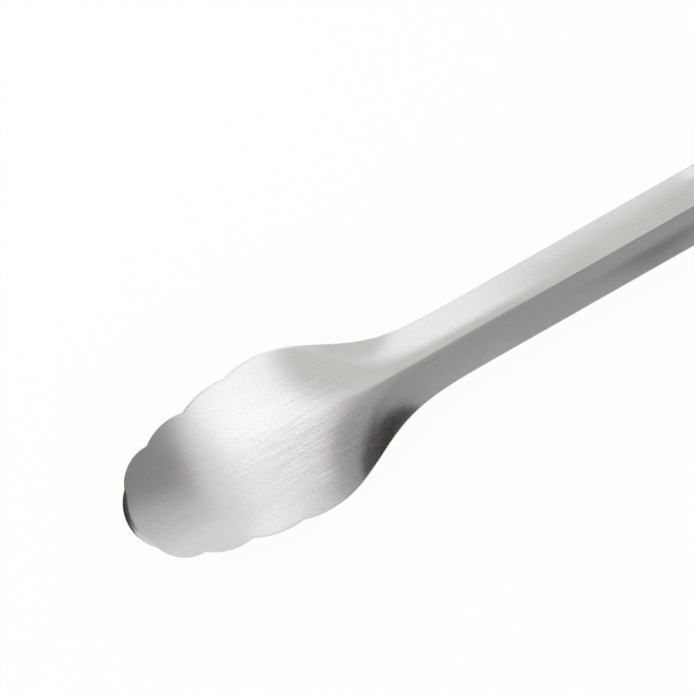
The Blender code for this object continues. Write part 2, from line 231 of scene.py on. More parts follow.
@dataclass(frozen=True)
class SharedEffects:
    """The node groups that more than one finish uses, each built once."""

    grain: bpy.types.NodeTree
    scratches: bpy.types.NodeTree
    haze: bpy.types.NodeTree

    @classmethod
    def build(cls) -> SharedEffects:
        """Builds every shared group."""
        return cls(grain=cls.make_grain(), scratches=cls.make_scratches(), haze=cls.make_haze())

    @staticmethod
    def make_grain() -> bpy.types.NodeTree:
        """Brush lines: noise drawn out along the brushing, in a short and a long set.

        Returns:
            A group from grain coordinates in metres to a streak value and a height.
        """
        inputs = {
            "Vector": ("NodeSocketVector", None),
            "Lines Along": ("NodeSocketFloat", 60.0),
            "Lines Across": ("NodeSocketFloat", 2600.0),
            "Long Share": ("NodeSocketFloat", 0.42),
        }
        group, kit, source, sink = new_group("brushed_grain", inputs, ("Streak", "Height"))
        parts = kit.add("ShaderNodeSeparateXYZ")
        kit.link(source.outputs["Vector"], parts.inputs[0])
        along = kit.math("MULTIPLY", parts.outputs["X"], source.outputs["Lines Along"])
        across = kit.math("MULTIPLY", parts.outputs["Y"], source.outputs["Lines Across"])
        short = kit.add("ShaderNodeCombineXYZ")
        kit.link(along, short.inputs["X"])
        kit.link(across, short.inputs["Y"])
        long = kit.add("ShaderNodeCombineXYZ")
        kit.link(kit.math("MULTIPLY", along, LONG_LINES_ALONG), long.inputs["X"])
        kit.link(kit.math("MULTIPLY", across, LONG_LINES_ACROSS), long.inputs["Y"])
        long.inputs["Z"].default_value = LONG_LINES_LAYER
        short_lines = kit.noise(short.outputs[0], 1.0, 2.0)
        long_lines = kit.noise(long.outputs[0], 1.0, 1.0)
        mix = kit.add("ShaderNodeMix", data_type="FLOAT")
        kit.link(source.outputs["Long Share"], mix.inputs["Factor"])
        kit.link(short_lines, mix.inputs["A"])
        kit.link(long_lines, mix.inputs["B"])
        kit.link(mix.outputs["Result"], sink.inputs["Streak"])
        kit.link(short_lines, sink.inputs["Height"])
        return group

    @staticmethod
    def make_scratches() -> bpy.types.NodeTree:
        """Sparse hairline marks from use: thin ridges of a stretched, wandering noise.

        Returns:
            A group from a place in metres to a mask that is 1 on a mark.
        """
        inputs = {
            "Vector": ("NodeSocketVector", None),
            "Scale": ("NodeSocketFloat", 90.0),
            "Thinness": ("NodeSocketFloat", 90.0),
        }
        group, kit, source, sink = new_group("hairline_scratches", inputs, ("Mark",))
        turned = kit.add("ShaderNodeVectorRotate", rotation_type="AXIS_ANGLE")
        turned.inputs["Angle"].default_value = MARK_TURN
        kit.link(source.outputs["Vector"], turned.inputs["Vector"])
        stretch = kit.add("ShaderNodeVectorMath", operation="MULTIPLY")
        stretch.inputs[1].default_value = (MARK_STRETCH, 1.0, 1.0)
        kit.link(turned.outputs[0], stretch.inputs[0])
        scaled = kit.add("ShaderNodeVectorMath", operation="SCALE")
        kit.link(stretch.outputs[0], scaled.inputs[0])
        kit.link(source.outputs["Scale"], scaled.inputs["Scale"])
        wander = kit.noise(scaled.outputs[0], 1.0, 1.5)
        off_line = kit.math("ABSOLUTE", kit.math("SUBTRACT", wander, 0.5))
        line = kit.math("SUBTRACT", 1.0, kit.math("MULTIPLY", off_line, source.outputs["Thinness"]))
        cover = kit.noise(scaled.outputs[0], MARK_PATCH_SCALE, 0.0)
        patches = kit.math("GREATER_THAN", cover, MARK_PATCH_START)
        mark = kit.math("MULTIPLY", kit.math("MAXIMUM", line, 0.0), patches)
        kit.link(mark, sink.inputs["Mark"])
        return group

    @staticmethod
    def make_haze() -> bpy.types.NodeTree:
        """Soft cloudy areas where handling and washing have dulled the metal.

        Returns:
            A group from a place in metres to a cloud value, about 0 to 1.
        """
        inputs = {"Vector": ("NodeSocketVector", None), "Scale": ("NodeSocketFloat", 40.0)}
        group, kit, source, sink = new_group("handling_haze", inputs, ("Cloud",))
        scaled = kit.add("ShaderNodeVectorMath", operation="SCALE")
        kit.link(source.outputs["Vector"], scaled.inputs[0])
        kit.link(source.outputs["Scale"], scaled.inputs["Scale"])
        kit.link(kit.noise(scaled.outputs[0], 1.0, 3.0), sink.inputs["Cloud"])
        return group


@dataclass(frozen=True)
class SteelFinish:
    """One stainless steel finish, from mill-brushed to polished.

    The lines are counted per metre along and across the grain. Where press_reach is given, the lines
    are deepest at press_place and fade out over that reach. Behind grip_start the metal is glossier.
    """

    name: str
    colour: tuple[float, float, float]
    roughness: float
    anisotropy: float
    lines_along: float
    lines_across: float
    streak_tint: float
    streak_roughness: float
    grain_depth: float
    scratch_roughness: float
    haze_roughness: float
    press_place: Point2 = (0.0, 0.0)
    press_reach: float = 0.0
    pressed_depth: float = 1.5
    faded_depth: float = 0.12
    even_depth: float = 0.75
    haze_depth: float = 0.5
    grip_start: float = 0.0
    grip_gloss: float = 0.0
    grip_blend: float = 20.0 * MM
    tint_middle: float = 0.4
    haze_tint: float = 0.2
    grain_turn: float = 0.25

    def material(self, effects: SharedEffects) -> bpy.types.Material:
        """Makes the finish's material.

        Args:
            effects: the shared node groups.

        Returns:
            The material, which reads the mesh's grain coordinates.
        """
        material = bpy.data.materials.new(self.name)
        material.use_nodes = True
        kit = NodeKit(material.node_tree)
        shader = material.node_tree.nodes["Principled BSDF"]
        shader.inputs["Metallic"].default_value = 1.0
        shader.inputs["Anisotropic"].default_value = self.anisotropy
        shader.inputs["Anisotropic Rotation"].default_value = self.grain_turn
        coordinates = kit.add("ShaderNodeUVMap", uv_map=GRAIN_UV).outputs["UV"]
        grain = self.place_group(kit, effects.grain, coordinates)
        grain.inputs["Lines Along"].default_value = self.lines_along
        grain.inputs["Lines Across"].default_value = self.lines_across
        marks = self.place_group(kit, effects.scratches, coordinates).outputs["Mark"]
        cloud = self.place_group(kit, effects.haze, coordinates).outputs["Cloud"]
        clouded = kit.math("MULTIPLY", cloud, self.haze_depth)
        depth = kit.math("ADD", self.brush_pressure(kit, coordinates), clouded)
        lines = kit.math("MULTIPLY", kit.math("SUBTRACT", grain.outputs["Streak"], 0.5), depth)
        self.link_colour(kit, shader, lines, cloud)
        self.link_roughness(kit, shader, lines, marks, cloud, self.grip_share(kit, coordinates))
        bump = kit.add("ShaderNodeBump")
        bump.inputs["Strength"].default_value = 1.0
        bump.inputs["Distance"].default_value = self.grain_depth
        kit.link(grain.outputs["Height"], bump.inputs["Height"])
        kit.link(bump.outputs["Normal"], shader.inputs["Normal"])
        if self.anisotropy > 0.0:
            tangent = kit.add("ShaderNodeTangent", direction_type="UV_MAP", uv_map=GRAIN_UV)
            kit.link(tangent.outputs["Tangent"], shader.inputs["Tangent"])
        return material

    @staticmethod
    def place_group(
        kit: NodeKit, group: bpy.types.NodeTree, vector: bpy.types.NodeSocket
    ) -> bpy.types.Node:
        """Places a shared group in the material.

        Args:
            kit: the material's node kit.
            group: the shared group.
            vector: coordinates for its Vector socket.

        Returns:
            The group node.
        """
        node = kit.add("ShaderNodeGroup", node_tree=group)
        kit.link(vector, node.inputs["Vector"])
        return node

    def brush_pressure(
        self, kit: NodeKit, coordinates: bpy.types.NodeSocket
    ) -> bpy.types.NodeSocket | float:
        """How much deeper the brush lines are round the place where the brush pressed hardest.

        Args:
            kit: the material's node kit.
            coordinates: grain coordinates in metres.

        Returns:
            A value that is highest at the finish's press place, or the same all over.
        """
        if self.press_reach == 0.0:
            return self.even_depth
        away = kit.add("ShaderNodeVectorMath", operation="DISTANCE")
        away.inputs[1].default_value = (*self.press_place, 0.0)
        kit.link(coordinates, away.inputs[0])
        fade = kit.add("ShaderNodeMapRange", interpolation_type="SMOOTHSTEP")
        fade.inputs["From Max"].default_value = self.press_reach
        fade.inputs["To Min"].default_value = self.pressed_depth
        fade.inputs["To Max"].default_value = self.faded_depth
        kit.link(away.outputs["Value"], fade.inputs["Value"])
        return fade.outputs["Result"]

    def grip_share(
        self, kit: NodeKit, coordinates: bpy.types.NodeSocket
    ) -> bpy.types.NodeSocket | float:
        """How much of the brushing hands have rubbed smooth, along the arm.

        Args:
            kit: the material's node kit.
            coordinates: grain coordinates in metres.

        Returns:
            A value that rises from 0 to 1 behind the head, or 0 where the finish has no grip.
        """
        if self.grip_gloss == 0.0:
            return 0.0
        parts = kit.add("ShaderNodeSeparateXYZ")
        kit.link(coordinates, parts.inputs[0])
        rise = kit.add("ShaderNodeMapRange", interpolation_type="SMOOTHSTEP")
        rise.inputs["From Min"].default_value = self.grip_start
        rise.inputs["From Max"].default_value = self.grip_start + self.grip_blend
        kit.link(parts.outputs["X"], rise.inputs["Value"])
        return rise.outputs["Result"]

    def link_colour(
        self,
        kit: NodeKit,
        shader: bpy.types.Node,
        lines: bpy.types.NodeSocket,
        cloud: bpy.types.NodeSocket,
    ) -> None:
        """Tints the base colour along the brush lines and, more faintly, in clouds.

        Args:
            kit: the material's node kit.
            shader: the Principled shader.
            lines: brush line value, about -1 to 1.
            cloud: haze value.
        """
        clouds = kit.math("ADD", kit.math("MULTIPLY", cloud, self.haze_tint), self.tint_middle)
        share = kit.math("ADD", lines, clouds)
        tint = kit.add("ShaderNodeMix", data_type="RGBA")
        dark = tuple(channel * (1.0 - self.streak_tint) for channel in self.colour)
        light = tuple(min(1.0, channel * (1.0 + self.streak_tint)) for channel in self.colour)
        tint.inputs["A"].default_value = (*dark, 1.0)
        tint.inputs["B"].default_value = (*light, 1.0)
        kit.link(share, tint.inputs["Factor"])
        kit.link(tint.outputs["Result"], shader.inputs["Base Color"])

    def link_roughness(
        self,
        kit: NodeKit,
        shader: bpy.types.Node,
        lines: bpy.types.NodeSocket,
        marks: bpy.types.NodeSocket,
        cloud: bpy.types.NodeSocket,
        grip: bpy.types.NodeSocket | float,
    ) -> None:
        """Varies the roughness by brush lines, hairline marks, haze and grip.

        Args:
            kit: the material's node kit.
            shader: the Principled shader.
            lines: brush line value, about -1 to 1.
            marks: scratch mask.
            cloud: haze value.
            grip: how far hands have rubbed the brushing smooth.
        """
        terms = (
            (lines, self.streak_roughness),
            (marks, self.scratch_roughness),
            (kit.math("SUBTRACT", cloud, 0.5), self.haze_roughness),
            (grip, -self.grip_gloss),
        )
        total: bpy.types.NodeSocket | float = self.roughness
        for value, strength in terms:
            total = kit.math("ADD", kit.math("MULTIPLY", value, strength), total)
        kit.link(total, shader.inputs["Roughness"])


BRUSHED = SteelFinish(
    name="brushed_steel",
    colour=(0.63, 0.63, 0.625),
    roughness=0.26,
    anisotropy=0.45,
    lines_along=1400.0,
    lines_across=4300.0,
    streak_tint=0.42,
    streak_roughness=0.07,
    grain_depth=0.0000015,
    scratch_roughness=0.03,
    haze_roughness=0.04,
    press_place=(50.0 * MM, -5.0 * MM),
    press_reach=24.0 * MM,
    grip_start=42.0 * MM,
    grip_gloss=0.07,
)
CUT_EDGE = SteelFinish(
    name="tumbled_edge",
    colour=(0.66, 0.66, 0.655),
    roughness=0.24,
    anisotropy=0.0,
    lines_along=500.0,
    lines_across=900.0,
    streak_tint=0.05,
    streak_roughness=0.08,
    grain_depth=0.000003,
    scratch_roughness=0.06,
    haze_roughness=0.05,
)
RIVET = SteelFinish(
    name="rivet_steel",
    colour=(0.66, 0.66, 0.65),
    roughness=0.17,
    anisotropy=0.0,
    lines_along=300.0,
    lines_across=1500.0,
    streak_tint=0.04,
    streak_roughness=0.06,
    grain_depth=0.000003,
    scratch_roughness=0.12,
    haze_roughness=0.05,
)
SLEEVE = SteelFinish(
    name="sleeve_steel",
    colour=(0.58, 0.58, 0.57),
    roughness=0.30,
    anisotropy=0.0,
    lines_along=200.0,
    lines_across=2500.0,
    streak_tint=0.06,
    streak_roughness=0.10,
    grain_depth=0.000004,
    scratch_roughness=0.05,
    haze_roughness=0.08,
)
SPRING = SteelFinish(
    name="spring_steel",
    colour=(0.50, 0.50, 0.49),
    roughness=0.26,
    anisotropy=0.0,
    lines_along=120.0,
    lines_across=3000.0,
    streak_tint=0.07,
    streak_roughness=0.10,
    grain_depth=0.000004,
    scratch_roughness=0.05,
    haze_roughness=0.10,
)
LOCK = SteelFinish(
    name="lock_steel",
    colour=(0.60, 0.60, 0.59),
    roughness=0.27,
    anisotropy=0.25,
    lines_along=70.0,
    lines_across=2200.0,
    streak_tint=0.08,
    streak_roughness=0.10,
    grain_depth=0.000004,
    scratch_roughness=0.08,
    haze_roughness=0.06,
)
LATCH = SteelFinish(
    name="latch_steel",
    colour=(0.63, 0.63, 0.62),
    roughness=0.21,
    anisotropy=0.0,
    lines_along=250.0,
    lines_across=2800.0,
    streak_tint=0.06,
    streak_roughness=0.08,
    grain_depth=0.000003,
    scratch_roughness=0.10,
    haze_roughness=0.05,
)


def grain_layer(bm: bmesh.types.BMesh) -> bmesh.types.BMLayerItem:
    """The grain coordinates' layer of a bmesh, made if it has none."""
    return bm.loops.layers.uv.get(GRAIN_UV) or bm.loops.layers.uv.new(GRAIN_UV)


def finished_piece(
    name: str, bm: bmesh.types.BMesh, materials: list[bpy.types.Material]
) -> bpy.types.Object:
    """Turns a bmesh into a piece in the scene, shaded smooth.

    Args:
        name: the piece's name.
        bm: its mesh, freed here.
        materials: its material slots in order.

    Returns:
        The new object.
    """
    mesh = bpy.data.meshes.new(name)
    bm.to_mesh(mesh)
    bm.free()
    mesh.shade_smooth()
    for material in materials:
        mesh.materials.append(material)
    piece = bpy.data.objects.new(name, mesh)
    bpy.context.scene.collection.objects.link(piece)
    return piece


def cut_piece(piece: bpy.types.Object, tool: bpy.types.Object) -> None:
    """Cuts a tool's shape out of a piece for good, and deletes the tool.

    Args:
        piece: the piece, whose mesh is replaced by the cut one.
        tool: a closed shape that is used up.
    """
    hole = piece.modifiers.new(tool.name, "BOOLEAN")
    hole.object = tool
    hole.solver = "EXACT"
    bpy.context.view_layer.update()
    graph = bpy.context.evaluated_depsgraph_get()
    made = bpy.data.meshes.new_from_object(piece.evaluated_get(graph), depsgraph=graph)
    piece.modifiers.clear()
    old = piece.data
    piece.data = made
    bpy.data.meshes.remove(old)
    bpy.data.objects.remove(tool)


def mount_piece(piece: bpy.types.Object, body: str, node: str) -> None:
    """Rides a piece on its body in place of a frame node.

    Args:
        piece: the finished piece.
        body: the body it moves with.
        node: the node it stands for.
    """
    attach(piece, body)
    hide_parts(node)
    LOG.info("%s: %d faces on body %s", piece.name, len(piece.data.polygons), body)


def slot_outline(back: float, travel: float, radius: float, steps: int) -> list[Point2]:
    """A slot seen from the side, round at both ends.

    Args:
        back: its back centre, from the hinge axis.
        travel: distance between its two centres.
        radius: half of its height.
        steps: facets of each round end.

    Returns:
        The points in order.
    """
    points = []
    for centre, start in ((back, -math.pi / 2), (back - travel, math.pi / 2)):
        for step in range(steps + 1):
            turn = start + math.pi * step / steps
            points.append((centre + radius * math.cos(turn), radius * math.sin(turn)))
    return points


def cross_prism(outline: list[Point2], half: float) -> bmesh.types.BMesh:
    """A solid across the tongs with an outline seen from the side.

    Args:
        outline: its points, as (along, height).
        half: half of its width.

    Returns:
        The closed mesh.
    """
    bm = bmesh.new()
    rings = [[bm.verts.new((x, side * half, z)) for x, z in outline] for side in (-1.0, 1.0)]
    for ring in rings:
        bm.faces.new(ring)
    for index, vert in enumerate(rings[0]):
        after = (index + 1) % len(outline)
        bm.faces.new((vert, rings[0][after], rings[1][after], rings[1][index]))
    bmesh.ops.recalc_face_normals(bm, faces=bm.faces)
    return bm


@dataclass(frozen=True)
class SheetPoint:
    """A point of an arm's outer face."""

    run: float
    across: float
    depth: float


def girth_along(points: list[SheetPoint]) -> list[float]:
    """Distance along the sheet from the ridge to each point of a half row.

    Args:
        points: the half row, from the ridge out.

    Returns:
        One distance for each point.
    """
    girths = [0.0]
    for first, second in zip(points, points[1:]):
        step = math.hypot(second.across - first.across, second.depth - first.depth)
        girths.append(girths[-1] + step)
    return girths


@dataclass
class PressedSheet:
    """A net of points that becomes a sheet with a wall and rounded cut edges."""

    places: list[Vector] = field(default_factory=list)
    grain: list[Point2] = field(default_factory=list)
    faces: list[tuple[int, ...]] = field(default_factory=list)

    def add(self, place: Vector, grain: Point2) -> int:
        """Adds a point.

        Args:
            place: where it lies.
            grain: its grain coordinates.

        Returns:
            Its number.
        """
        self.places.append(place)
        self.grain.append(grain)
        return len(self.places) - 1

    def bridge(self, first: list[int], second: list[int]) -> None:
        """Fills the strip between two rows that may share points.

        Args:
            first: numbers of the first row.
            second: numbers of the second row, as many.
        """
        for index in range(len(first) - 1):
            corners = first[index], second[index], second[index + 1], first[index + 1]
            unique = tuple(dict.fromkeys(corners))
            if len(unique) > 2:
                self.faces.append(unique)

    def upright(self) -> bmesh.types.BMesh:
        """The net as a mesh of one layer, with its normals towards the crown.

        Returns:
            The open mesh, with its points numbered as in the net.
        """
        bm = bmesh.new()
        verts = [bm.verts.new(place) for place in self.places]
        for face in self.faces:
            bm.faces.new([verts[index] for index in face])
        bmesh.ops.recalc_face_normals(bm, faces=bm.faces)
        if sum(face.normal.z * face.calc_area() for face in bm.faces) < 0.0:
            bmesh.ops.reverse_faces(bm, faces=bm.faces)
        bm.normal_update()
        bm.verts.index_update()
        return bm

    def thicken(self, wall: float, rounding: float, steps: int) -> bmesh.types.BMesh:
        """Gives the net its wall on the inside and a rounded edge all round.

        Args:
            wall: thickness of the sheet.
            rounding: radius of each cut edge.
            steps: facets of each rounded edge.

        Returns:
            A closed mesh whose cut edge has the second material.
        """
        net = self.upright()
        rim = {vert.index: self.outward(vert) for vert in net.verts if vert.is_boundary}
        bm = bmesh.new()
        layer = grain_layer(bm)
        layers = []
        for depth in (0.0, wall):
            verts = []
            for vert in net.verts:
                back = rim[vert.index] * rounding if vert.index in rim else Vector()
                verts.append(bm.verts.new(vert.co - back - vert.normal * depth))
            layers.append(verts)
        for verts, flip in zip(layers, (False, True)):
            for face in net.faces:
                order = [vert.index for vert in face.verts]
                order = order[::-1] if flip else order
                self.dress(bm.faces.new([verts[index] for index in order]), order, layer)
        net.verts.ensure_lookup_table()
        loops = {index: [layers[0][index]] for index in rim}
        for index, out in rim.items():
            vert = net.verts[index]
            for depth, turn in self.edge_profile(wall, rounding, steps):
                centre = vert.co - out * rounding - vert.normal * depth
                place = centre + rounding * (out * math.cos(turn) + vert.normal * math.sin(turn))
                loops[index].append(bm.verts.new(place))
            loops[index].append(layers[1][index])
        for edge in net.edges:
            if not edge.is_boundary:
                continue
            start, end = self.along(edge)
            pairs = zip(loops[start], loops[start][1:], loops[end][1:], loops[end])
            for corners in pairs:
                face = bm.faces.new(corners)
                self.dress(face, [start, start, end, end], layer)
                face.material_index = 1
        net.free()
        bmesh.ops.recalc_face_normals(bm, faces=bm.faces)
        bm.normal_update()
        return bm

    def dress(
        self, face: bmesh.types.BMFace, order: list[int], layer: bmesh.types.BMLayerItem
    ) -> None:
        """Gives a face its grain coordinates and shades it smooth.

        Args:
            face: the new face.
            order: the net's point at each of its corners.
            layer: the grain coordinates' layer.
        """
        face.smooth = True
        for loop, index in zip(face.loops, order):
            loop[layer].uv = self.grain[index]

    @staticmethod
    def along(edge: bmesh.types.BMEdge) -> tuple[int, int]:
        """A boundary edge's points in the order that keeps its rim's faces outwards."""
        loop = edge.link_loops[0]
        return loop.link_loop_next.vert.index, loop.vert.index

    @staticmethod
    def outward(vert: bmesh.types.BMVert) -> Vector:
        """The way out of the sheet, in its own plane, at a point of its edge.

        Args:
            vert: the point, on the boundary of the net.

        Returns:
            A way of length 1.
        """
        total = Vector()
        for edge in vert.link_edges:
            if edge.is_boundary:
                loop = edge.link_loops[0]
                along = loop.link_loop_next.vert.co - loop.vert.co
                total += along.normalized().cross(vert.normal)
        return total.normalized()

    @staticmethod
    def edge_profile(wall: float, rounding: float, steps: int) -> list[tuple[float, float]]:
        """The rounded edge from the outer to the inner face.

        Args:
            wall: thickness of the sheet.
            rounding: radius of each cut edge.
            steps: facets of each rounded edge.

        Returns:
            Pairs of the depth of the arc's centre and the turn on it.
        """
        outer = [(rounding, math.pi / 2 * (1.0 - step / steps)) for step in range(1, steps + 1)]
        inner = [(wall - rounding, -math.pi / 2 * step / steps) for step in range(steps)]
        return outer + inner


@dataclass
class PressedArm:
    """One pressed sheet arm: scalloped spoon head, roof-section handle and eared tail."""

    side: Side
    node: str
    hinge: Vector
    tail_half: float
    sheet: float = 1.0 * MM
    # Head: its notches as shares of its length and half width, its bowl and its curled lip.
    head_half_width: float = 22.0 * MM
    head_run: float = 47.0 * MM
    notch_run_shares: tuple[float, ...] = (0.082, 0.304, 0.566, 0.849)
    notch_width_shares: tuple[float, ...] = (0.395, 0.709, 0.841, 0.947)
    scallop_rise_shares: tuple[float, ...] = (0.160, 0.110, 0.080)
    bowl_drop: float = 5.0 * MM
    bowl_power: float = 2.3
    tip_run: float = 44.0 * MM
    tip_power: float = 3.0
    tip_clearance: float = 0.25 * MM
    lip_drop: float = 1.0 * MM
    lip_run: float = 1.4 * MM
    lip_power: float = 1.3
    # Neck and handle: how the outline narrows, and where the bowl turns into the roof.
    handle_half_width: float = 9.2 * MM
    neck_fall: float = 23.65 * MM
    neck_power: float = 2.3
    neck_run: float = 50.0 * MM
    blend_lead: float = 5.0 * MM
    blend_run: float = 40.0 * MM
    roof_drop: float = 5.0 * MM
    ridge_soft_share: float = 0.28
    # Tail: the channel, its ears, the rivet's bore and the latch notches.
    tail_run: float = 7.8 * MM
    channel_lead: float = 16.0 * MM
    channel_blend: float = 30.0 * MM
    corner_radius: float = 1.8 * MM
    cheek_depth: float = 7.0 * MM
    ear_radius: float = 6.6 * MM
    ear_slope: float = math.radians(30.0)
    stop_angle: float = math.radians(25.5)
    bore_radius: float = 2.0 * MM
    latch_run: float = 9.5 * MM
    latch_travel: float = 8.0 * MM
    latch_hole_radius: float = 1.0 * MM
    edge_round: float = 0.2 * MM
    # Facets of each part, and how they crowd towards the rim and the notches.
    rim_crowd: float = 0.65
    notch_crowd: float = 0.65
    sharp_angle: float = math.radians(50.0)
    edge_steps: int = 3
    across_steps: int = 30
    corner_steps: int = 6
    cheek_steps: int = 8
    tip_steps: int = 22
    scallop_steps: int = 14
    shoulder_steps: int = 8
    neck_steps: int = 36
    handle_steps: int = 24
    channel_steps: int = 22
    slope_steps: int = 12
    lobe_steps: int = 8
    heel_steps: int = 7
    bore_steps: int = 32
    notch_steps: int = 24
    # Sizes that follow from the others.
    pivot_depth: float = field(init=False)
    hinge_run: float = field(init=False)
    tip_drop: float = field(init=False)
    heel_rise: float = field(init=False)
    marks: list[Point2] = field(init=False)
    tip_radius: float = field(init=False)

    def __post_init__(self) -> None:
        """Works out the sizes that follow from the fields."""
        self.pivot_depth = self.hinge.z
        self.hinge_run = self.hinge.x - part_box(self.node)[0][0]
        self.tip_drop = self.pivot_depth - self.sheet - self.lip_drop - self.tip_clearance
        rise = self.pivot_depth - self.corner_radius - self.tail_run * math.sin(self.stop_angle)
        self.heel_rise = rise / math.cos(self.stop_angle)
        self.marks = [
            (self.head_run * run, self.head_half_width * width)
            for run, width in zip(self.notch_run_shares, self.notch_width_shares)
        ]
        run, half = self.marks[0]
        self.tip_radius = (run * run + half * half) / (2.0 * run)

    def scallop_half(self, run: float, start: Point2, end: Point2, rise_share: float) -> float:
        """Half width on the arc that bulges from the chord between two notches.

        Args:
            run: distance from the tip.
            start: the notch nearer the tip, as (run, half width).
            end: the next notch.
            rise_share: rise of the arc, of its chord.

        Returns:
            The half width.
        """
        chord = Vector(end) - Vector(start)
        rise = chord.length * rise_share
        radius = (chord.length**2 / 4.0 + rise**2) / (2.0 * rise)
        middle = (Vector(start) + Vector(end)) / 2.0
        centre = middle + chord.normalized().orthogonal() * (rise - radius)
        return centre.y + math.sqrt(max(0.0, radius**2 - (run - centre.x) ** 2))

    def half_width(self, run: float) -> float:
        """Half width from the first notch back, before the tail is drawn in.

        Args:
            run: distance from the tip.

        Returns:
            The half width.
        """
        marks = self.marks
        for start, end, rise_share in zip(marks, marks[1:], self.scallop_rise_shares):
            if run <= end[0]:
                return self.scallop_half(run, start, end, rise_share)
        if run <= self.head_run:
            share = (self.head_run - run) / (self.head_run - marks[-1][0])
            return self.head_half_width - (self.head_half_width - marks[-1][1]) * share**2
        fall = math.exp(-(((run - self.head_run) / self.neck_fall) ** self.neck_power))
        return self.handle_half_width + (self.head_half_width - self.handle_half_width) * fall

    def bowl_depth(self, run: float, across: float) -> float:
        """Drop of the head's outer face: a flat-bottomed bowl whose tip curls inwards.

        Args:
            run: distance from the tip.
            across: distance from the middle line.

        Returns:
            The drop below the crown.
        """
        side = self.bowl_drop * (abs(across) / self.head_half_width) ** self.bowl_power
        tip = self.tip_drop * max(0.0, 1.0 - run / self.tip_run) ** self.tip_power
        from_edge = self.tip_radius - math.hypot(self.tip_radius - run, across)
        fade = max(0.0, 1.0 - run / self.marks[0][0])
        curl = min(1.0, max(0.0, 1.0 - from_edge / self.lip_run)) ** self.lip_power
        lip = self.lip_drop * curl * fade
        return side + tip + lip

    def roof_depth(self, share: float) -> float:
        """Drop of the handle's face at a share of its half width: a roof with a soft ridge."""
        soft = self.ridge_soft_share
        return self.roof_drop * (math.hypot(share, soft) - soft) / (math.hypot(1.0, soft) - soft)

    def arch_depth(self, run: float, across: float, half: float) -> float:
        """Drop of the face of the head, neck or handle.

        Args:
            run: distance from the tip.
            across: distance from the middle line.
            half: half width at that run.

        Returns:
            The drop below the crown.
        """
        start = self.head_run - self.blend_lead
        roof = smooth(start, start + self.blend_run, run)
        roofed = self.roof_depth(abs(across) / half) if roof else 0.0
        return (1.0 - roof) * self.bowl_depth(run, across) + roof * roofed

    def ear_depth(self, run: float) -> float:
        """Depth of the cheeks' edge: level, down a slope, round the ear and back up its heel.

        Args:
            run: distance from the tip.

        Returns:
            The depth below the crown.
        """
        ahead = run - self.hinge_run
        if ahead >= 0.0:
            drop = (self.ear_radius - self.heel_rise) * ahead / self.tail_run
            return self.pivot_depth + self.ear_radius - drop
        tangent = -self.ear_radius * math.sin(self.ear_slope)
        if ahead >= tangent:
            return self.pivot_depth + math.sqrt(self.ear_radius**2 - ahead**2)
        top = self.pivot_depth + self.ear_radius * math.cos(self.ear_slope)
        return max(self.cheek_depth, top + (ahead - tangent) * math.tan(self.ear_slope))

    def ear_start(self) -> float:
        """Where the cheeks' edge starts to slope down to the ear.

        Returns:
            The distance from the tip.
        """
        top = self.pivot_depth + self.ear_radius * math.cos(self.ear_slope)
        lobe = self.hinge_run - self.ear_radius * math.sin(self.ear_slope)
        return lobe - (top - self.cheek_depth) / math.tan(self.ear_slope)

    def channel_row(self, run: float) -> list[Point2]:
        """Half of the outer face across the full channel.

        Args:
            run: distance from the tip.

        Returns:
            The points as (across, depth), from the middle to the cheek's edge.
        """
        flat = self.tail_half - self.corner_radius
        edge = self.ear_depth(run)
        web_steps = self.across_steps - self.corner_steps - self.cheek_steps
        points = [(flat * step / web_steps, 0.0) for step in range(web_steps + 1)]
        for turn in spread(0.0, math.pi / 2, self.corner_steps):
            rise = self.corner_radius * (1.0 - math.cos(turn))
            points.append((flat + self.corner_radius * math.sin(turn), rise))
        down = spread(self.corner_radius, edge, self.cheek_steps)
        return points + [(self.tail_half, depth) for depth in down]

    def half_row(self, run: float) -> list[SheetPoint]:
        """Half of a straight row of the outer face.

        Args:
            run: distance from the tip.

        Returns:
            The points from the ridge to the edge.
        """
        half = self.half_width(run)
        start = self.hinge_run - self.channel_lead - self.channel_blend
        channel = smooth(start, start + self.channel_blend, run)
        square = self.channel_row(run) if channel > 0.0 else None
        points = []
        for step in range(self.across_steps + 1):
            across = half * step / self.across_steps
            depth = self.arch_depth(run, across, half)
            if square:
                across += (square[step][0] - across) * channel
                depth += (square[step][1] - depth) * channel
            points.append(SheetPoint(run, across, depth))
        return points

    def ray(self, edge: Point2) -> list[SheetPoint]:
        """A ray of the head's front, from its hub out to a point of the outline.

        Its points crowd towards the rim, most of all at the tip, where the lip bends sharply.

        Args:
            edge: the outline point, as (run, across).

        Returns:
            The points from the hub to the edge.
        """
        hub = self.marks[2][0]
        crowd = self.rim_crowd * (1.0 - edge[0] / hub)
        points = []
        for step in range(self.across_steps + 1):
            even = step / self.across_steps
            share = even * (1.0 + crowd * (1.0 - even))
            place = hub + (edge[0] - hub) * share
            across = edge[1] * share
            depth = self.bowl_depth(place, across)
            points.append(SheetPoint(place, across, depth))
        return points

    def front_edge(self) -> list[Point2]:
        """Half of the outline ahead of the hub: the tip scallop and the two after it.

        Returns:
            The points as (run, across), from the tip to the hub's own row.
        """
        marks = self.marks
        turn = math.asin(marks[0][1] / self.tip_radius)
        points = []
        for step in range(self.tip_steps + 1):
            angle = turn * step / self.tip_steps
            run = self.tip_radius * (1.0 - math.cos(angle))
            points.append((run, self.tip_radius * math.sin(angle)))
        for start, end, rise in list(zip(marks, marks[1:], self.scallop_rise_shares))[:2]:
            for run in self.scallop_runs(start[0], end[0]):
                points.append((run, self.scallop_half(run, start, end, rise)))
        return points

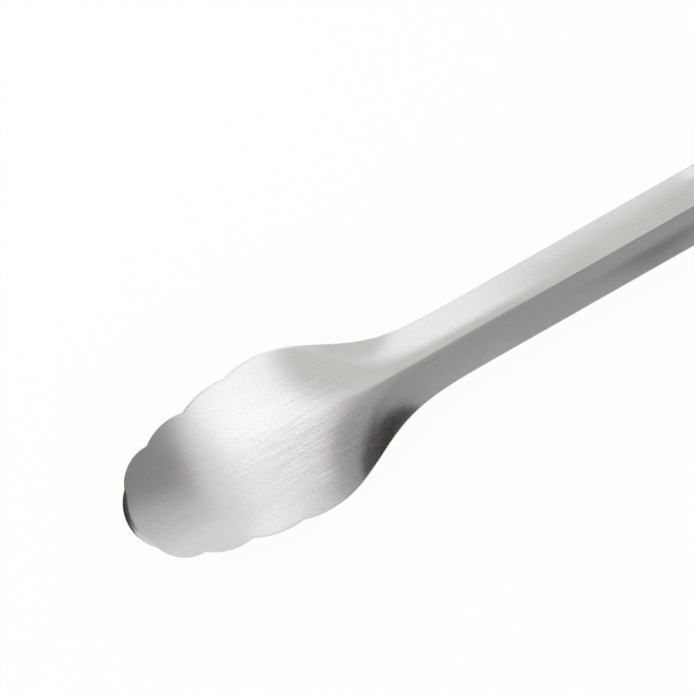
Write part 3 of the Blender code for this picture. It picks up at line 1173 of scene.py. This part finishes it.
    def scallop_runs(self, start: float, end: float) -> list[float]:
        """Runs along one side scallop, closer together at the notches.

        Args:
            start: run of the notch nearer the tip.
            end: run of the next notch.

        Returns:
            The runs after start, up to and with end.
        """
        middle, reach = (start + end) / 2.0, (end - start) / 2.0
        crowd, even = self.notch_crowd, 1.0 - self.notch_crowd
        return [
            middle - reach * (crowd * math.cos(turn) + even * (1.0 - 2.0 * turn / math.pi))
            for turn in spread(0.0, math.pi, self.scallop_steps)
        ]

    def back_runs(self) -> list[float]:
        """Runs of the straight rows, from the hub to the end of the web.

        Returns:
            The distances from the tip in order.
        """
        marks = self.marks
        runs = [marks[2][0]]
        runs += self.scallop_runs(marks[2][0], marks[3][0])
        runs += spread(marks[3][0], self.head_run, self.shoulder_steps)
        runs += spread(self.head_run, self.head_run + self.neck_run, self.neck_steps)
        channel_end = self.hinge_run - self.channel_lead
        runs += spread(runs[-1], channel_end - self.channel_blend, self.handle_steps)
        runs += spread(runs[-1], channel_end, self.channel_steps)
        lobe = self.hinge_run - self.ear_radius * math.sin(self.ear_slope)
        runs += spread(runs[-1], self.ear_start(), 1)
        runs += spread(runs[-1], lobe, self.slope_steps)
        runs += spread(lobe, self.hinge_run, self.lobe_steps)
        runs += spread(self.hinge_run, self.hinge_run + self.tail_run, self.heel_steps)
        return runs

    def place(self, point: SheetPoint, side: float) -> Vector:
        """A sheet point as it lies about the hinge axis, crown up."""
        return Vector((point.run - self.hinge_run, point.across * side, self.pivot_depth - point.depth))

    def skin(self) -> PressedSheet:
        """The outer face: a fan of rays at the head's front, then straight rows.

        Returns:
            The net of its points.
        """
        sheet = PressedSheet()
        rows = []
        for run in self.back_runs():
            half = self.half_row(run)
            girths = girth_along(half)
            left = [
                sheet.add(self.place(point, -1.0), (point.run, -girth))
                for point, girth in zip(half[:0:-1], girths[:0:-1])
            ]
            right = [
                sheet.add(self.place(point, 1.0), (point.run, girth))
                for point, girth in zip(half, girths)
            ]
            rows.append(left + right)
        for first, second in zip(rows, rows[1:]):
            sheet.bridge(first, second)
        middle = self.across_steps
        hub = rows[0][middle]
        outline = self.front_edge()
        tip_ray = self.add_ray(sheet, hub, outline[0], 1.0)
        for side, across_row in ((1.0, rows[0][middle:]), (-1.0, rows[0][middle::-1])):
            previous = tip_ray
            for edge in outline[1:-1]:
                following = self.add_ray(sheet, hub, edge, side)
                sheet.bridge(previous, following)
                previous = following
            sheet.bridge(previous, across_row)
        return sheet

    def add_ray(self, sheet: PressedSheet, hub: int, edge: Point2, side: float) -> list[int]:
        """Adds a ray of the head's front to the net.

        Args:
            sheet: the net.
            hub: number of the point in which all rays start.
            edge: the outline point that the ray ends in, as (run, across).
            side: 1 or -1, for the two sides of the middle line.

        Returns:
            The numbers of the ray's points, from the hub out.
        """
        return [hub] + [
            sheet.add(self.place(point, side), (point.run, side * point.across))
            for point in self.ray(edge)[1:]
        ]

    def build(self, body: str, finishes: list[bpy.types.Material]) -> bpy.types.Object:
        """Builds the arm: skin, wall, rounded edges, rivet holes and latch notches.

        Args:
            body: the body it rides on.
            finishes: materials of the faces and of the cut edge.

        Returns:
            The finished piece.
        """
        bm = self.skin().thicken(self.sheet, self.edge_round, self.edge_steps)
        piece = finished_piece(f"{self.node}_pressing", bm, finishes)
        holes = slot_outline(0.0, 0.0, self.bore_radius, self.bore_steps)
        notches = slot_outline(
            -self.latch_run, self.latch_travel, self.latch_hole_radius, self.notch_steps
        )
        for name, outline in (("rivet_holes", holes), ("latch_notches", notches)):
            cut_piece(piece, finished_piece(name, cross_prism(outline, self.head_half_width), []))
        turn = Matrix.Rotation(math.pi if self.side is Side.LOWER else 0.0, 4, "X")
        piece.data.transform(Matrix.Translation(self.hinge) @ turn)
        piece.data.set_sharp_from_angle(angle=self.sharp_angle)
        mount_piece(piece, body, self.node)
        return piece


def round_corners(outline: list[Point2], radius: float, steps: int) -> list[Point2]:
    """An open line with an arc in place of each inner corner.

    Args:
        outline: the line's points.
        radius: radius of the arcs, less where a side is too short for it.
        steps: facets of each arc.

    Returns:
        The points of the rounded line.
    """
    side_share = 0.45
    points = [outline[0]]
    for before, corner, after in zip(outline, outline[1:], outline[2:]):
        middle = Vector(corner)
        back, on = Vector(before) - middle, Vector(after) - middle
        reach = min(radius, side_share * back.length, side_share * on.length)
        start, end = middle + back.normalized() * reach, middle + on.normalized() * reach
        for step in range(steps + 1):
            share = step / steps
            bend = start * (1.0 - share) ** 2 + middle * 2.0 * share * (1.0 - share) + end * share**2
            points.append((bend.x, bend.y))
    return points + [outline[-1]]


@dataclass(frozen=True)
class TurnedPiece:
    """A piece turned about the cross axis of the tongs."""

    node: str
    slot: str
    body: str
    centre: Vector
    profile: list[Point2]
    ring: bool = False
    turn_steps: int = 72

    def build(self, finish: bpy.types.Material) -> bpy.types.Object:
        """Turns the profile and dresses it with grain that runs round the axis.

        Args:
            finish: its material.

        Returns:
            The finished piece.
        """
        bm = bmesh.new()
        layer = grain_layer(bm)
        profile = self.profile + self.profile[:1] if self.ring else self.profile
        rings = [self.ring_of(bm, point) for point in self.profile]
        if self.ring:
            rings.append(rings[0])
        lengths = [0.0]
        for first, second in zip(profile, profile[1:]):
            lengths.append(lengths[-1] + math.dist(first, second))
        for index in range(len(profile) - 1):
            self.band(bm, layer, rings[index : index + 2], lengths[index : index + 2])
        bmesh.ops.recalc_face_normals(bm, faces=bm.faces)
        piece = finished_piece(f"{self.node}_turned", bm, [finish])
        piece.data.set_sharp_from_angle(angle=SHARP_ANGLE)
        mount_piece(piece, self.body, self.node)
        return piece

    def ring_of(self, bm: bmesh.types.BMesh, point: Point2) -> list[bmesh.types.BMVert]:
        """The points round the axis at one place of the profile: a single one on the axis.

        Args:
            bm: the mesh.
            point: the place, as (radius, distance along the axis).

        Returns:
            The new points in order.
        """
        radius, along = point
        steps = self.turn_steps if radius > 0.0 else 1
        turns = [2.0 * math.pi * step / steps for step in range(steps)]
        return [
            bm.verts.new(self.centre + Vector((radius * math.cos(turn), along, radius * math.sin(turn))))
            for turn in turns
        ]

    def band(
        self,
        bm: bmesh.types.BMesh,
        layer: bmesh.types.BMLayerItem,
        rings: list[list[bmesh.types.BMVert]],
        lengths: list[float],
    ) -> None:
        """Fills the band between two rings.

        Args:
            bm: the mesh.
            layer: the grain coordinates' layer.
            rings: the two rings; either may be a single point.
            lengths: distance of each along the profile.
        """
        width = max((vert.co - self.centre).xz.length for ring in rings for vert in ring)
        for step in range(self.turn_steps):
            corners = []
            for ring, length, offsets in zip(rings, lengths, ((0, 1), (1, 0))):
                for offset in offsets:
                    vert = ring[(step + offset) % len(ring)]
                    round_way = 2.0 * math.pi * width * (step + offset) / self.turn_steps
                    if not corners or corners[-1][0] is not vert:
                        corners.append((vert, (round_way, length)))
            if corners[0][0] is corners[-1][0]:
                corners.pop()
            face = bm.faces.new([vert for vert, _ in corners])
            for loop, (_, grain) in zip(face.loops, corners):
                loop[layer].uv = grain


@dataclass(frozen=True)
class HingePin:
    """The cross rivet with its two domed heads."""

    seat: float = 9.5 * MM
    shank_radius: float = 1.7 * MM
    head_radius: float = 3.6 * MM
    head_rise: float = 1.1 * MM
    rim: float = 0.4 * MM
    soften: float = 0.15 * MM
    soften_steps: int = 4
    dome_steps: int = 14

    def profile(self) -> list[Point2]:
        """The rivet's profile, from one end of its axis to the other.

        Returns:
            The points as (radius, distance along the axis).
        """
        rim = self.seat + self.rim
        end = self.seat + self.head_rise
        dome = []
        for share in spread(0.0, 1.0, self.dome_steps):
            dome.append((self.head_radius * share, rim + (end - rim) * (1.0 - share**2)))
        edge = [(self.head_radius, self.seat), (self.shank_radius, self.seat), (self.shank_radius, 0.0)]
        half = round_corners(dome + edge, self.soften, self.soften_steps)
        half = [(0.0, end)] + half[:-1]
        return half + [(radius, -along) for radius, along in reversed(half)]


@dataclass(frozen=True)
class SpacerTube:
    """The tube round the rivet that keeps the inner ears apart."""

    bore_radius: float = 2.0 * MM
    wall: float = 0.6 * MM
    half_length: float = 6.6 * MM
    chamfer: float = 0.12 * MM

    def profile(self) -> list[Point2]:
        """The tube's closed profile, with its ends chamfered inside and outside.

        Returns:
            The points as (radius, distance along the axis).
        """
        inner, outer = self.bore_radius, self.bore_radius + self.wall
        end, cut = self.half_length, self.chamfer
        top = [(inner, end - cut), (inner + cut, end), (outer - cut, end), (outer, end - cut)]
        return top + [(radius, -along) for radius, along in reversed(top)]


@dataclass(frozen=True)
class LatchPinShape:
    """The stepped latch pin: thin ends in the ears' notches, a collar between the plates."""

    radius: float = 0.7 * MM
    half_length: float = 9.2 * MM
    end_round: float = 0.25 * MM
    collar_radius: float = 1.2 * MM
    collar_half: float = 5.3 * MM
    soften: float = 0.12 * MM
    soften_steps: int = 4

    def profile(self) -> list[Point2]:
        """The pin's profile, from one end of its axis to the other.

        Returns:
            The points as (radius, distance along the axis).
        """
        half = [
            (0.0, self.half_length),
            (self.radius - self.end_round, self.half_length),
            (self.radius, self.half_length - self.end_round),
            (self.radius, self.collar_half),
            (self.collar_radius, self.collar_half),
            (self.collar_radius, 0.0),
        ]
        soft = round_corners(half, self.soften, self.soften_steps)[:-1]
        return soft + [(radius, -along) for radius, along in reversed(soft)]


@dataclass(frozen=True)
class SweptSection:
    """One section of a swept piece: its centre, its two axes and its points over them."""

    centre: Vector
    side: Vector
    up: Vector
    points: list[Point2]
    length: float


def sweep(sections: list[SweptSection]) -> bmesh.types.BMesh:
    """Joins closed sections, all with as many points, into a solid with flat ends.

    Args:
        sections: the sections in order.

    Returns:
        The closed mesh, with its grain along the sweep.
    """
    bm = bmesh.new()
    layer = grain_layer(bm)
    rings = []
    girths = []
    for part in sections:
        rings.append([bm.verts.new(part.centre + part.side * x + part.up * y) for x, y in part.points])
        closed = part.points + part.points[:1]
        girth = [0.0]
        for first, second in zip(closed, closed[1:]):
            girth.append(girth[-1] + math.dist(first, second))
        girths.append(girth)
    count = len(sections[0].points)
    for row in range(len(sections) - 1):
        for index in range(count):
            places = ((row, index), (row + 1, index), (row + 1, index + 1), (row, index + 1))
            face = bm.faces.new([rings[at][step % count] for at, step in places])
            for loop, (at, step) in zip(face.loops, places):
                loop[layer].uv = (sections[at].length, girths[at][step])
    for at in (0, -1):
        face = bm.faces.new(rings[at])
        for loop, (x, y) in zip(face.loops, sections[at].points):
            loop[layer].uv = (sections[at].length + x, y)
    bmesh.ops.recalc_face_normals(bm, faces=bm.faces)
    return bm


@dataclass(frozen=True)
class CoilSpring:
    """The torsion spring round the sleeve: leg, coils and leg in one wire."""

    hinge: Vector
    wire: float = 1.2 * MM
    mean_radius: float = 3.6 * MM
    coil_pitch: float = 1.65 * MM
    turns: int = 3
    leg: float = 20.0 * MM
    leg_rise: float = 6.5 * MM
    turn_steps: int = 40
    leg_steps: int = 12
    wire_steps: int = 20
    end_steps: int = 5
    end_turn: float = 0.45 * math.pi
    end_reach: float = 0.4

    def middle_line(self) -> list[Vector]:
        """The wire's middle line about the hinge axis.

        Returns:
            Its points, from the lower leg's tip to the upper's.
        """
        reach = math.hypot(self.leg, self.leg_rise)
        leave = math.atan2(self.leg_rise, -self.leg) - math.acos(self.mean_radius / reach)
        total = self.turns * 2.0 * math.pi + 2.0 * leave
        width = self.coil_pitch * total / (2.0 * math.pi)
        steps = round(self.turn_steps * total / (2.0 * math.pi))
        coil = []
        for step in range(steps + 1):
            share = step / steps
            angle = -leave + total * share
            radius = self.mean_radius
            coil.append(Vector((radius * math.cos(angle), width * (share - 0.5), radius * math.sin(angle))))
        start = Vector((-self.leg, -width / 2, -self.leg_rise))
        end = Vector((-self.leg, width / 2, self.leg_rise))
        ahead = [start.lerp(coil[0], step / self.leg_steps) for step in range(self.leg_steps)]
        behind = [coil[-1].lerp(end, value) for value in spread(0.0, 1.0, self.leg_steps)]
        return ahead + coil + behind

    def half_span(self) -> float:
        """Half of the distance along the hinge axis between the two legs."""
        return abs(self.middle_line()[0].y)

    def sections(self) -> list[SweptSection]:
        """Round sections along the wire, with rounded ends.

        Returns:
            The sections in order.
        """
        line = self.middle_line()
        radius = self.wire / 2
        parts = []
        side = Vector((0.0, 1.0, 0.0))
        length = 0.0
        for index, place in enumerate(line):
            before, after = line[max(0, index - 1)], line[min(len(line) - 1, index + 1)]
            along = (after - before).normalized()
            side = (side - along * side.dot(along)).normalized()
            length += (place - before).length
            for shift, share in self.end_rings(index, len(line)):
                way = -1.0 if index == 0 else 1.0
                centre = self.hinge + place + along * (way * shift * radius)
                parts.append(self.round_section(centre, side, along.cross(side), radius * share, length))
        return parts

    def end_rings(self, index: int, count: int) -> list[tuple[float, float]]:
        """Rings at one point of the line: more at the two ends, which they round.

        Args:
            index: number of the point.
            count: how many points the line has.

        Returns:
            Pairs of the reach past the point and the ring's size, as shares of the radius.
        """
        if 0 < index < count - 1:
            return [(0.0, 1.0)]
        turns = [0.0] + spread(0.0, self.end_turn, self.end_steps)
        rings = [(self.end_reach * (math.sin(turn) - 1.0), math.cos(turn)) for turn in turns]
        return rings if index else rings[::-1]

    def round_section(
        self, centre: Vector, side: Vector, up: Vector, radius: float, length: float
    ) -> SweptSection:
        """A round section of the wire at a place along it.

        Args:
            centre: its centre.
            side: its first axis.
            up: its second axis.
            radius: its radius.
            length: distance along the wire.

        Returns:
            The section.
        """
        turns = [2.0 * math.pi * step / self.wire_steps for step in range(self.wire_steps)]
        points = [(radius * math.cos(turn), radius * math.sin(turn)) for turn in turns]
        return SweptSection(centre, side, up, points, length)

    def build(self, finish: bpy.types.Material) -> bpy.types.Object:
        """Builds the spring in place about the hinge, its legs reaching towards the lower and the upper
        arm.

        Args:
            finish: its material.

        Returns:
            The finished piece.
        """
        piece = finished_piece("torsion_spring_wire", sweep(self.sections()), [finish])
        piece.data.set_sharp_from_angle(angle=SHARP_ANGLE)
        reach = Vector((0.0, self.half_span(), 0.0))
        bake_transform(piece)
        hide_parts("torsion_spring")
        LOG.info("%s: %d faces between both arms", piece.name, len(piece.data.polygons))
        return piece


@dataclass(frozen=True)
class LockStrip:
    """The lock loop: a strip folded to a U, with slotted plates round the rivet and the pin."""

    hinge: Vector
    half_width: float = 6.6 * MM
    strip: float = 1.0 * MM
    front: float = 20.3 * MM
    front_half: float = 4.2 * MM
    taper: float = 3.3 * MM
    neck_half: float = 3.0 * MM
    reach: float = 16.6 * MM
    travel: float = 8.0 * MM
    slot_radius: float = 2.9 * MM
    latch_run: float = 9.5 * MM
    latch_hole_radius: float = 1.0 * MM
    edge_round: float = 0.22 * MM
    round_steps: int = 4
    plate_steps: int = 30
    bend_steps: int = 40
    front_steps: int = 8
    slot_steps: int = 32
    hole_steps: int = 20

    @property
    def nose(self) -> float:
        """Radius of the rounded corners at the front of each plate."""
        return self.front_half / 3

    def half_height(self, along: float) -> float:
        """Half of the strip's height.

        Args:
            along: place along the tongs, from the hinge axis.

        Returns:
            The half height.
        """
        ahead = along + self.front
        if ahead < self.nose:
            rise = math.sqrt(max(0.0, self.nose**2 - (self.nose - ahead) ** 2))
            return self.front_half - self.nose + rise
        return self.front_half + (self.neck_half - self.front_half) * smooth(0.0, self.taper, along)

    def middle_line(self) -> list[tuple[Vector, Vector]]:
        """The strip's middle, from one plate's front to the other's.

        Returns:
            Its places about the hinge axis, each with the way out of the loop.
        """
        middle = self.half_width - self.strip / 2
        centre = self.reach - self.half_width
        front = [
            -self.front + self.nose * (1.0 - math.cos(turn))
            for turn in [0.0] + spread(0.0, math.pi / 2, self.front_steps)
        ]
        plate = front + spread(front[-1], 0.0, self.plate_steps // 3)
        plate += spread(0.0, self.taper, self.plate_steps // 2)
        plate += spread(self.taper, centre, self.plate_steps // 6)
        line = [(Vector((x, middle, 0.0)), Vector((0.0, 1.0, 0.0))) for x in plate]
        for turn in spread(math.pi / 2, -math.pi / 2, self.bend_steps):
            way = Vector((math.cos(turn), math.sin(turn), 0.0))
            line.append((Vector((centre, 0.0, 0.0)) + way * middle, way))
        for x in plate[-2::-1]:
            line.append((Vector((x, -middle, 0.0)), Vector((0.0, -1.0, 0.0))))
        return line

    def section_points(self, half_height: float) -> list[Point2]:
        """A rectangle of the strip's thickness with rounded corners.

        Args:
            half_height: half of the strip's height there.

        Returns:
            The points as (outwards, up).
        """
        wide, high, rounding = self.strip / 2, half_height, self.edge_round
        points = []
        for x, y, start in ((1, 1, 0), (-1, 1, 1), (-1, -1, 2), (1, -1, 3)):
            for step in range(self.round_steps + 1):
                turn = (start + step / self.round_steps) * math.pi / 2
                points.append((
                    x * (wide - rounding) + rounding * math.cos(turn),
                    y * (high - rounding) + rounding * math.sin(turn),
                ))
        return points

    def build(self, body: str, finish: bpy.types.Material) -> bpy.types.Object:
        """Sweeps the strip, cuts its slot and its latch hole and dresses it.

        Args:
            body: the body it rides on.
            finish: its material.

        Returns:
            The finished piece.
        """
        up = Vector((0.0, 0.0, 1.0))
        sections = []
        length = 0.0
        line = self.middle_line()
        for index, (place, way) in enumerate(line):
            length += (place - line[max(0, index - 1)][0]).length
            points = self.section_points(self.half_height(place.x))
            sections.append(SweptSection(self.hinge + place, way, up, points, length))
        piece = finished_piece("lock_loop_strip", sweep(sections), [finish])
        slot = slot_outline(0.0, self.travel, self.slot_radius, self.slot_steps)
        front = -self.latch_run - self.travel
        hole = slot_outline(front, 0.0, self.latch_hole_radius, self.hole_steps)
        for name, outline in (("rivet_slot", slot), ("latch_hole", hole)):
            tool = finished_piece(name, cross_prism(outline, 2.0 * self.half_width), [])
            tool.location = self.hinge
            cut_piece(piece, tool)
        piece.data.set_sharp_from_angle(angle=SHARP_ANGLE)
        mount_piece(piece, body, "lock_loop")
        return piece


def level(low: Point2, high: Point2, height: float) -> Corners:
    """Corners of a level rectangle.

    Args:
        low: its corner with the lowest x and y.
        high: the opposite corner.
        height: its height over the floor.

    Returns:
        The four corners in order.
    """
    return (*low, height), (high[0], low[1], height), (*high, height), (low[0], high[1], height)


def slanted(points: tuple[Point2, Point2, Point2, Point2], height: float) -> Corners:
    """A level four-sided sheet with slanted sides.

    Args:
        points: its corners in order, as (x, y).
        height: how high it lies.

    Returns:
        The four corners in order.
    """
    return tuple((x, y, height) for x, y in points)


def upright(start: Point2, end: Point2, top: float) -> Corners:
    """Corners of a rectangle that stands on the floor, from its start to its end."""
    foot = 0.5 * MM
    return (*start, foot), (*end, foot), (*end, top), (*start, top)


@dataclass(frozen=True)
class Card:
    """A flat studio card round the tongs that only shows in reflections."""

    name: str
    corners: Corners
    tone: float
    warmth: float = 0.0


@dataclass(frozen=True)
class SoftBox:
    """A soft lamp that faces the tongs."""

    name: str
    place: Point3
    size: tuple[float, float]
    radiance: float
    in_reflections: bool = True


@dataclass
class Studio:
    """Floor, soft light, cards and camera for the tongs."""

    picture_width: float = 176.6 * MM
    picture_centre: Point2 = (-42.8 * MM, 12.23 * MM)
    picture_roll: float = math.radians(29.6)
    camera_distance: float = 0.80
    sensor: float = 36.0
    floor_half: float = 1.5
    floor_glow: float = 0.93
    floor_paint: float = 0.95
    world_fill: float = 0.9
    aim: Vector = field(default_factory=lambda: Vector((-0.065, 0.0, 0.017)))
    cards: tuple[Card, ...] = (
        # Over the tip.
        Card(
            "card_tip",
            slanted(((-0.550, 0.050), (-0.136, -0.005), (-0.136, 0.500), (-0.550, 0.500)), 0.165),
            0.335,
            0.04,
        ),
        Card("card_tip_side", level((-0.55, -0.065), (-0.134, 0.10), 0.166), 0.76),
        # Over the bowl and its rims.
        Card(
            "card_key",
            slanted(((-0.101, 0.005), (-0.056, 0.005), (-0.056, 0.250), (-0.120, 0.250)), 0.165),
            1.60,
        ),
        Card("card_head", level((-0.105, -0.14), (-0.060, 0.005), 0.165), 1.25),
        Card("card_rim", level((-0.125, -0.24), (-0.075, -0.14), 0.165), 1.46),
        # For the far slope of the neck and handle.
        Card(
            "card_neck",
            slanted(((-0.049, 0.003), (0.200, 0.022), (0.200, 0.140), (-0.042, 0.140)), 0.164),
            0.84,
            0.05,
        ),
        Card(
            "card_neck_rim",
            slanted(((-0.054, 0.140), (0.000, 0.140), (-0.012, 0.165), (-0.067, 0.200)), 0.164),
            0.84,
            0.05,
        ),
        Card("card_neck_far", level((0.022, 0.14), (0.30, 0.40), 0.165), 0.84, 0.05),
        # For their near slope.
        Card(
            "card_handle",
            slanted(((-0.0555, -0.165), (0.012, -0.165), (0.012, 0.020), (-0.0525, 0.020)), 0.165),
            0.465,
            0.05,
        ),
        Card("card_handle_low", level((-0.056, -0.60), (0.40, -0.165), 0.165), 0.44, 0.05),
        Card("card_handle_rim", level((-0.069, -0.60), (-0.056, -0.14), 0.165), 0.47, 0.05),
        # Dark ones for the near flank behind the bowl.
        Card(
            "card_patch",
            slanted(((-0.027, -0.104), (0.003, -0.132), (0.083, -0.440), (0.130, -0.095)), 0.163),
            0.02,
        ),
        Card(
            "card_patch_tip",
            slanted(((-0.050, -0.065), (-0.036, -0.065), (-0.036, -0.037), (-0.046, -0.042)), 0.050),
            0.06,
        ),
        # For the ridge and the tail.
        Card("card_tail", level((0.012, -0.095), (0.12, -0.012), 0.164), 0.38, 0.05),
        Card(
            "card_ridge",
            slanted(((-0.026, -0.012), (-0.006, -0.075), (0.110, -0.075), (0.110, -0.012)), 0.050),
            0.45,
            0.05,
        ),
        # On the floor beside the tail.
        Card("card_floor_left", level((0.0, 0.030), (0.45, 0.40), 0.0005), 0.42),
        Card("card_floor_right", level((0.0, -0.40), (0.45, -0.030), 0.0005), 0.42),
        Card("card_floor_end", level((0.14, -0.030), (0.45, 0.030), 0.0005), 0.42),
        # Ahead of the tip, for its curled lip.
        Card("card_flag", upright((-0.170, -0.007), (-0.160, 0.050), 0.052), 0.055),
        Card("card_flag_foot", level((-0.170, -0.007), (-0.119, 0.050), 0.0005), 0.04),
        Card("card_flag_side", upright((-0.170, -0.007), (-0.165, -0.050), 0.052), 0.98),
    )
    lamps: tuple[SoftBox, ...] = (
        SoftBox("key", (-0.092, 0.10, 0.26), (0.085, 0.28), 0.80, in_reflections=False),
        SoftBox("back", (-0.02, 0.70, 0.28), (0.90, 0.40), 0.30),
    )

    def build(self) -> None:
        """Builds the whole studio."""
        self.make_world()
        self.make_floor()
        for card in self.cards:
            self.make_card(card)
        for lamp in self.lamps:
            self.make_lamp(lamp)
        self.make_camera()
        bpy.context.scene.view_settings.view_transform = "Standard"

    @staticmethod
    def direct_rays(kit: NodeKit) -> bpy.types.NodeSocket:
        """Tells the rays that see a surface directly from those that only light it.

        Args:
            kit: the material's node kit.

        Returns:
            1 for camera, glossy and transmission rays, 0 for the rest.
        """
        path = kit.add("ShaderNodeLightPath")
        seen = kit.math("MAXIMUM", path.outputs["Is Camera Ray"], path.outputs["Is Glossy Ray"])
        return kit.math("MAXIMUM", seen, path.outputs["Is Transmission Ray"])

    def make_world(self) -> None:
        """A white room, a little dimmer where it only lights the object."""
        world = bpy.data.worlds.new("studio_world")
        bpy.context.scene.world = world
        world.use_nodes = True
        world.cycles.sampling_method = "NONE"
        kit = NodeKit(world.node_tree)
        back = world.node_tree.nodes["Background"]
        back.inputs["Color"].default_value = (1.0, 1.0, 1.0, 1.0)
        extra = kit.math("MULTIPLY", self.direct_rays(kit), 1.0 - self.world_fill)
        kit.link(kit.math("ADD", extra, self.world_fill), back.inputs["Strength"])

    @staticmethod
    def emission_only(material: bpy.types.Material) -> tuple[NodeKit, bpy.types.Node, bpy.types.Node]:
        """Clears a material and gives it a plain emission.

        Args:
            material: the new material.

        Returns:
            Its node kit, its emission node and its output node.
        """
        material.use_nodes = True
        material.node_tree.nodes.remove(material.node_tree.nodes["Principled BSDF"])
        kit = NodeKit(material.node_tree)
        glow = kit.add("ShaderNodeEmission")
        material.cycles.emission_sampling = "NONE"
        return kit, glow, material.node_tree.nodes["Material Output"]

    @staticmethod
    def sheet(name: str, corners: Corners, material: bpy.types.Material) -> bpy.types.Object:
        """A flat four-cornered sheet.

        Args:
            name: its name.
            corners: its corners in order.
            material: its only material.

        Returns:
            The new object.
        """
        bm = bmesh.new()
        bm.faces.new([bm.verts.new(corner) for corner in corners])
        return finished_piece(name, bm, [material])

    def make_floor(self) -> None:
        """A plain white floor that keeps a soft shadow."""
        material = bpy.data.materials.new("white_floor")
        kit, glow, sink = self.emission_only(material)
        paint = kit.add("ShaderNodeBsdfDiffuse")
        paint.inputs["Color"].default_value = (*[self.floor_paint] * 3, 1.0)
        mix = kit.add("ShaderNodeMixShader")
        kit.link(kit.math("MULTIPLY", self.direct_rays(kit), self.floor_glow), mix.inputs["Fac"])
        kit.link(paint.outputs[0], mix.inputs[1])
        kit.link(glow.outputs[0], mix.inputs[2])
        kit.link(mix.outputs[0], sink.inputs["Surface"])
        half = self.floor_half
        corners = level((-half, -half), (half, half), CAD_BOX[0][2])
        self.sheet("floor", corners, material)

    def make_card(self, card: Card) -> None:
        """One reflection card.

        Args:
            card: its name, corners, tone and warmth.
        """
        material = bpy.data.materials.new(card.name)
        kit, glow, sink = self.emission_only(material)
        tints = (1.0, 1.0 - card.warmth / 2, 1.0 - card.warmth)
        glow.inputs["Color"].default_value = (*(card.tone * tint for tint in tints), 1.0)
        kit.link(glow.outputs[0], sink.inputs["Surface"])
        piece = self.sheet(card.name, card.corners, material)
        for name in ("camera", "diffuse", "shadow", "transmission", "volume_scatter"):
            setattr(piece, f"visible_{name}", False)

    def make_lamp(self, box: SoftBox) -> None:
        """An area lamp of a given brightness, facing the head.

        Args:
            box: its name, place, size and radiance.
        """
        lamp = bpy.data.lights.new(box.name, "AREA")
        lamp.shape = "RECTANGLE"
        lamp.size, lamp.size_y = box.size
        lamp.energy = box.radiance * math.pi * box.size[0] * box.size[1]
        piece = bpy.data.objects.new(box.name, lamp)
        bpy.context.scene.collection.objects.link(piece)
        piece.location = box.place
        way = (Vector(box.place) - self.aim).normalized()
        piece.rotation_euler = way.to_track_quat("Z", "Y").to_euler()
        piece.visible_camera = False
        piece.visible_glossy = box.in_reflections

    def make_camera(self) -> None:
        """A long lens square to the upper arm, rolled so that the tongs rise to the right."""
        lens = bpy.data.cameras.new("camera")
        lens.sensor_width = self.sensor
        lens.lens = self.sensor * self.camera_distance / self.picture_width
        camera = bpy.data.objects.new("camera", lens)
        bpy.context.scene.collection.objects.link(camera)
        top = CAD_BOX[1][2]
        camera.location = (*self.picture_centre, top + self.camera_distance)
        camera.rotation_euler = (0.0, 0.0, -self.picture_roll)
        bpy.context.scene.camera = camera


def main() -> None:
    """Builds the tongs and the studio."""
    logging.basicConfig(level=logging.INFO, format="%(name)s: %(message)s")
    effects = SharedEffects.build()
    joint = next(j for j in FRAME["joints"] if j["name"] == "arm_hinge")
    hinge = Vector(joint["pos_m"])
    brushed = BRUSHED.material(effects)
    edge = CUT_EDGE.material(effects)
    upper = PressedArm(Side.UPPER, "upper_arm", hinge, tail_half=9.2 * MM)
    upper.build("upper_arm", [brushed, edge])
    lower = PressedArm(Side.LOWER, "lower_arm", hinge, tail_half=7.9 * MM)
    lower.build("lower_arm", [brushed, edge])
    pin_place = hinge - Vector((LockStrip.latch_run + LockStrip.travel, 0.0, 0.0))
    for piece, finish in (
        (TurnedPiece("hinge_rivet", "rivet_steel", "lower_arm", hinge, HingePin().profile()), RIVET),
        (
            TurnedPiece(
                "spacer_sleeve", "sleeve_steel", "lower_arm", hinge, SpacerTube().profile(), ring=True
            ),
            SLEEVE,
        ),
        (TurnedPiece("latch_pin", "latch_steel", "lock", pin_place, LatchPinShape().profile()), LATCH),
    ):
        piece.build(finish.material(effects))
    CoilSpring(hinge).build(SPRING.material(effects))
    LockStrip(hinge).build("lock", LOCK.material(effects))
    Studio().build()


if __name__ == "__main__":
    main()
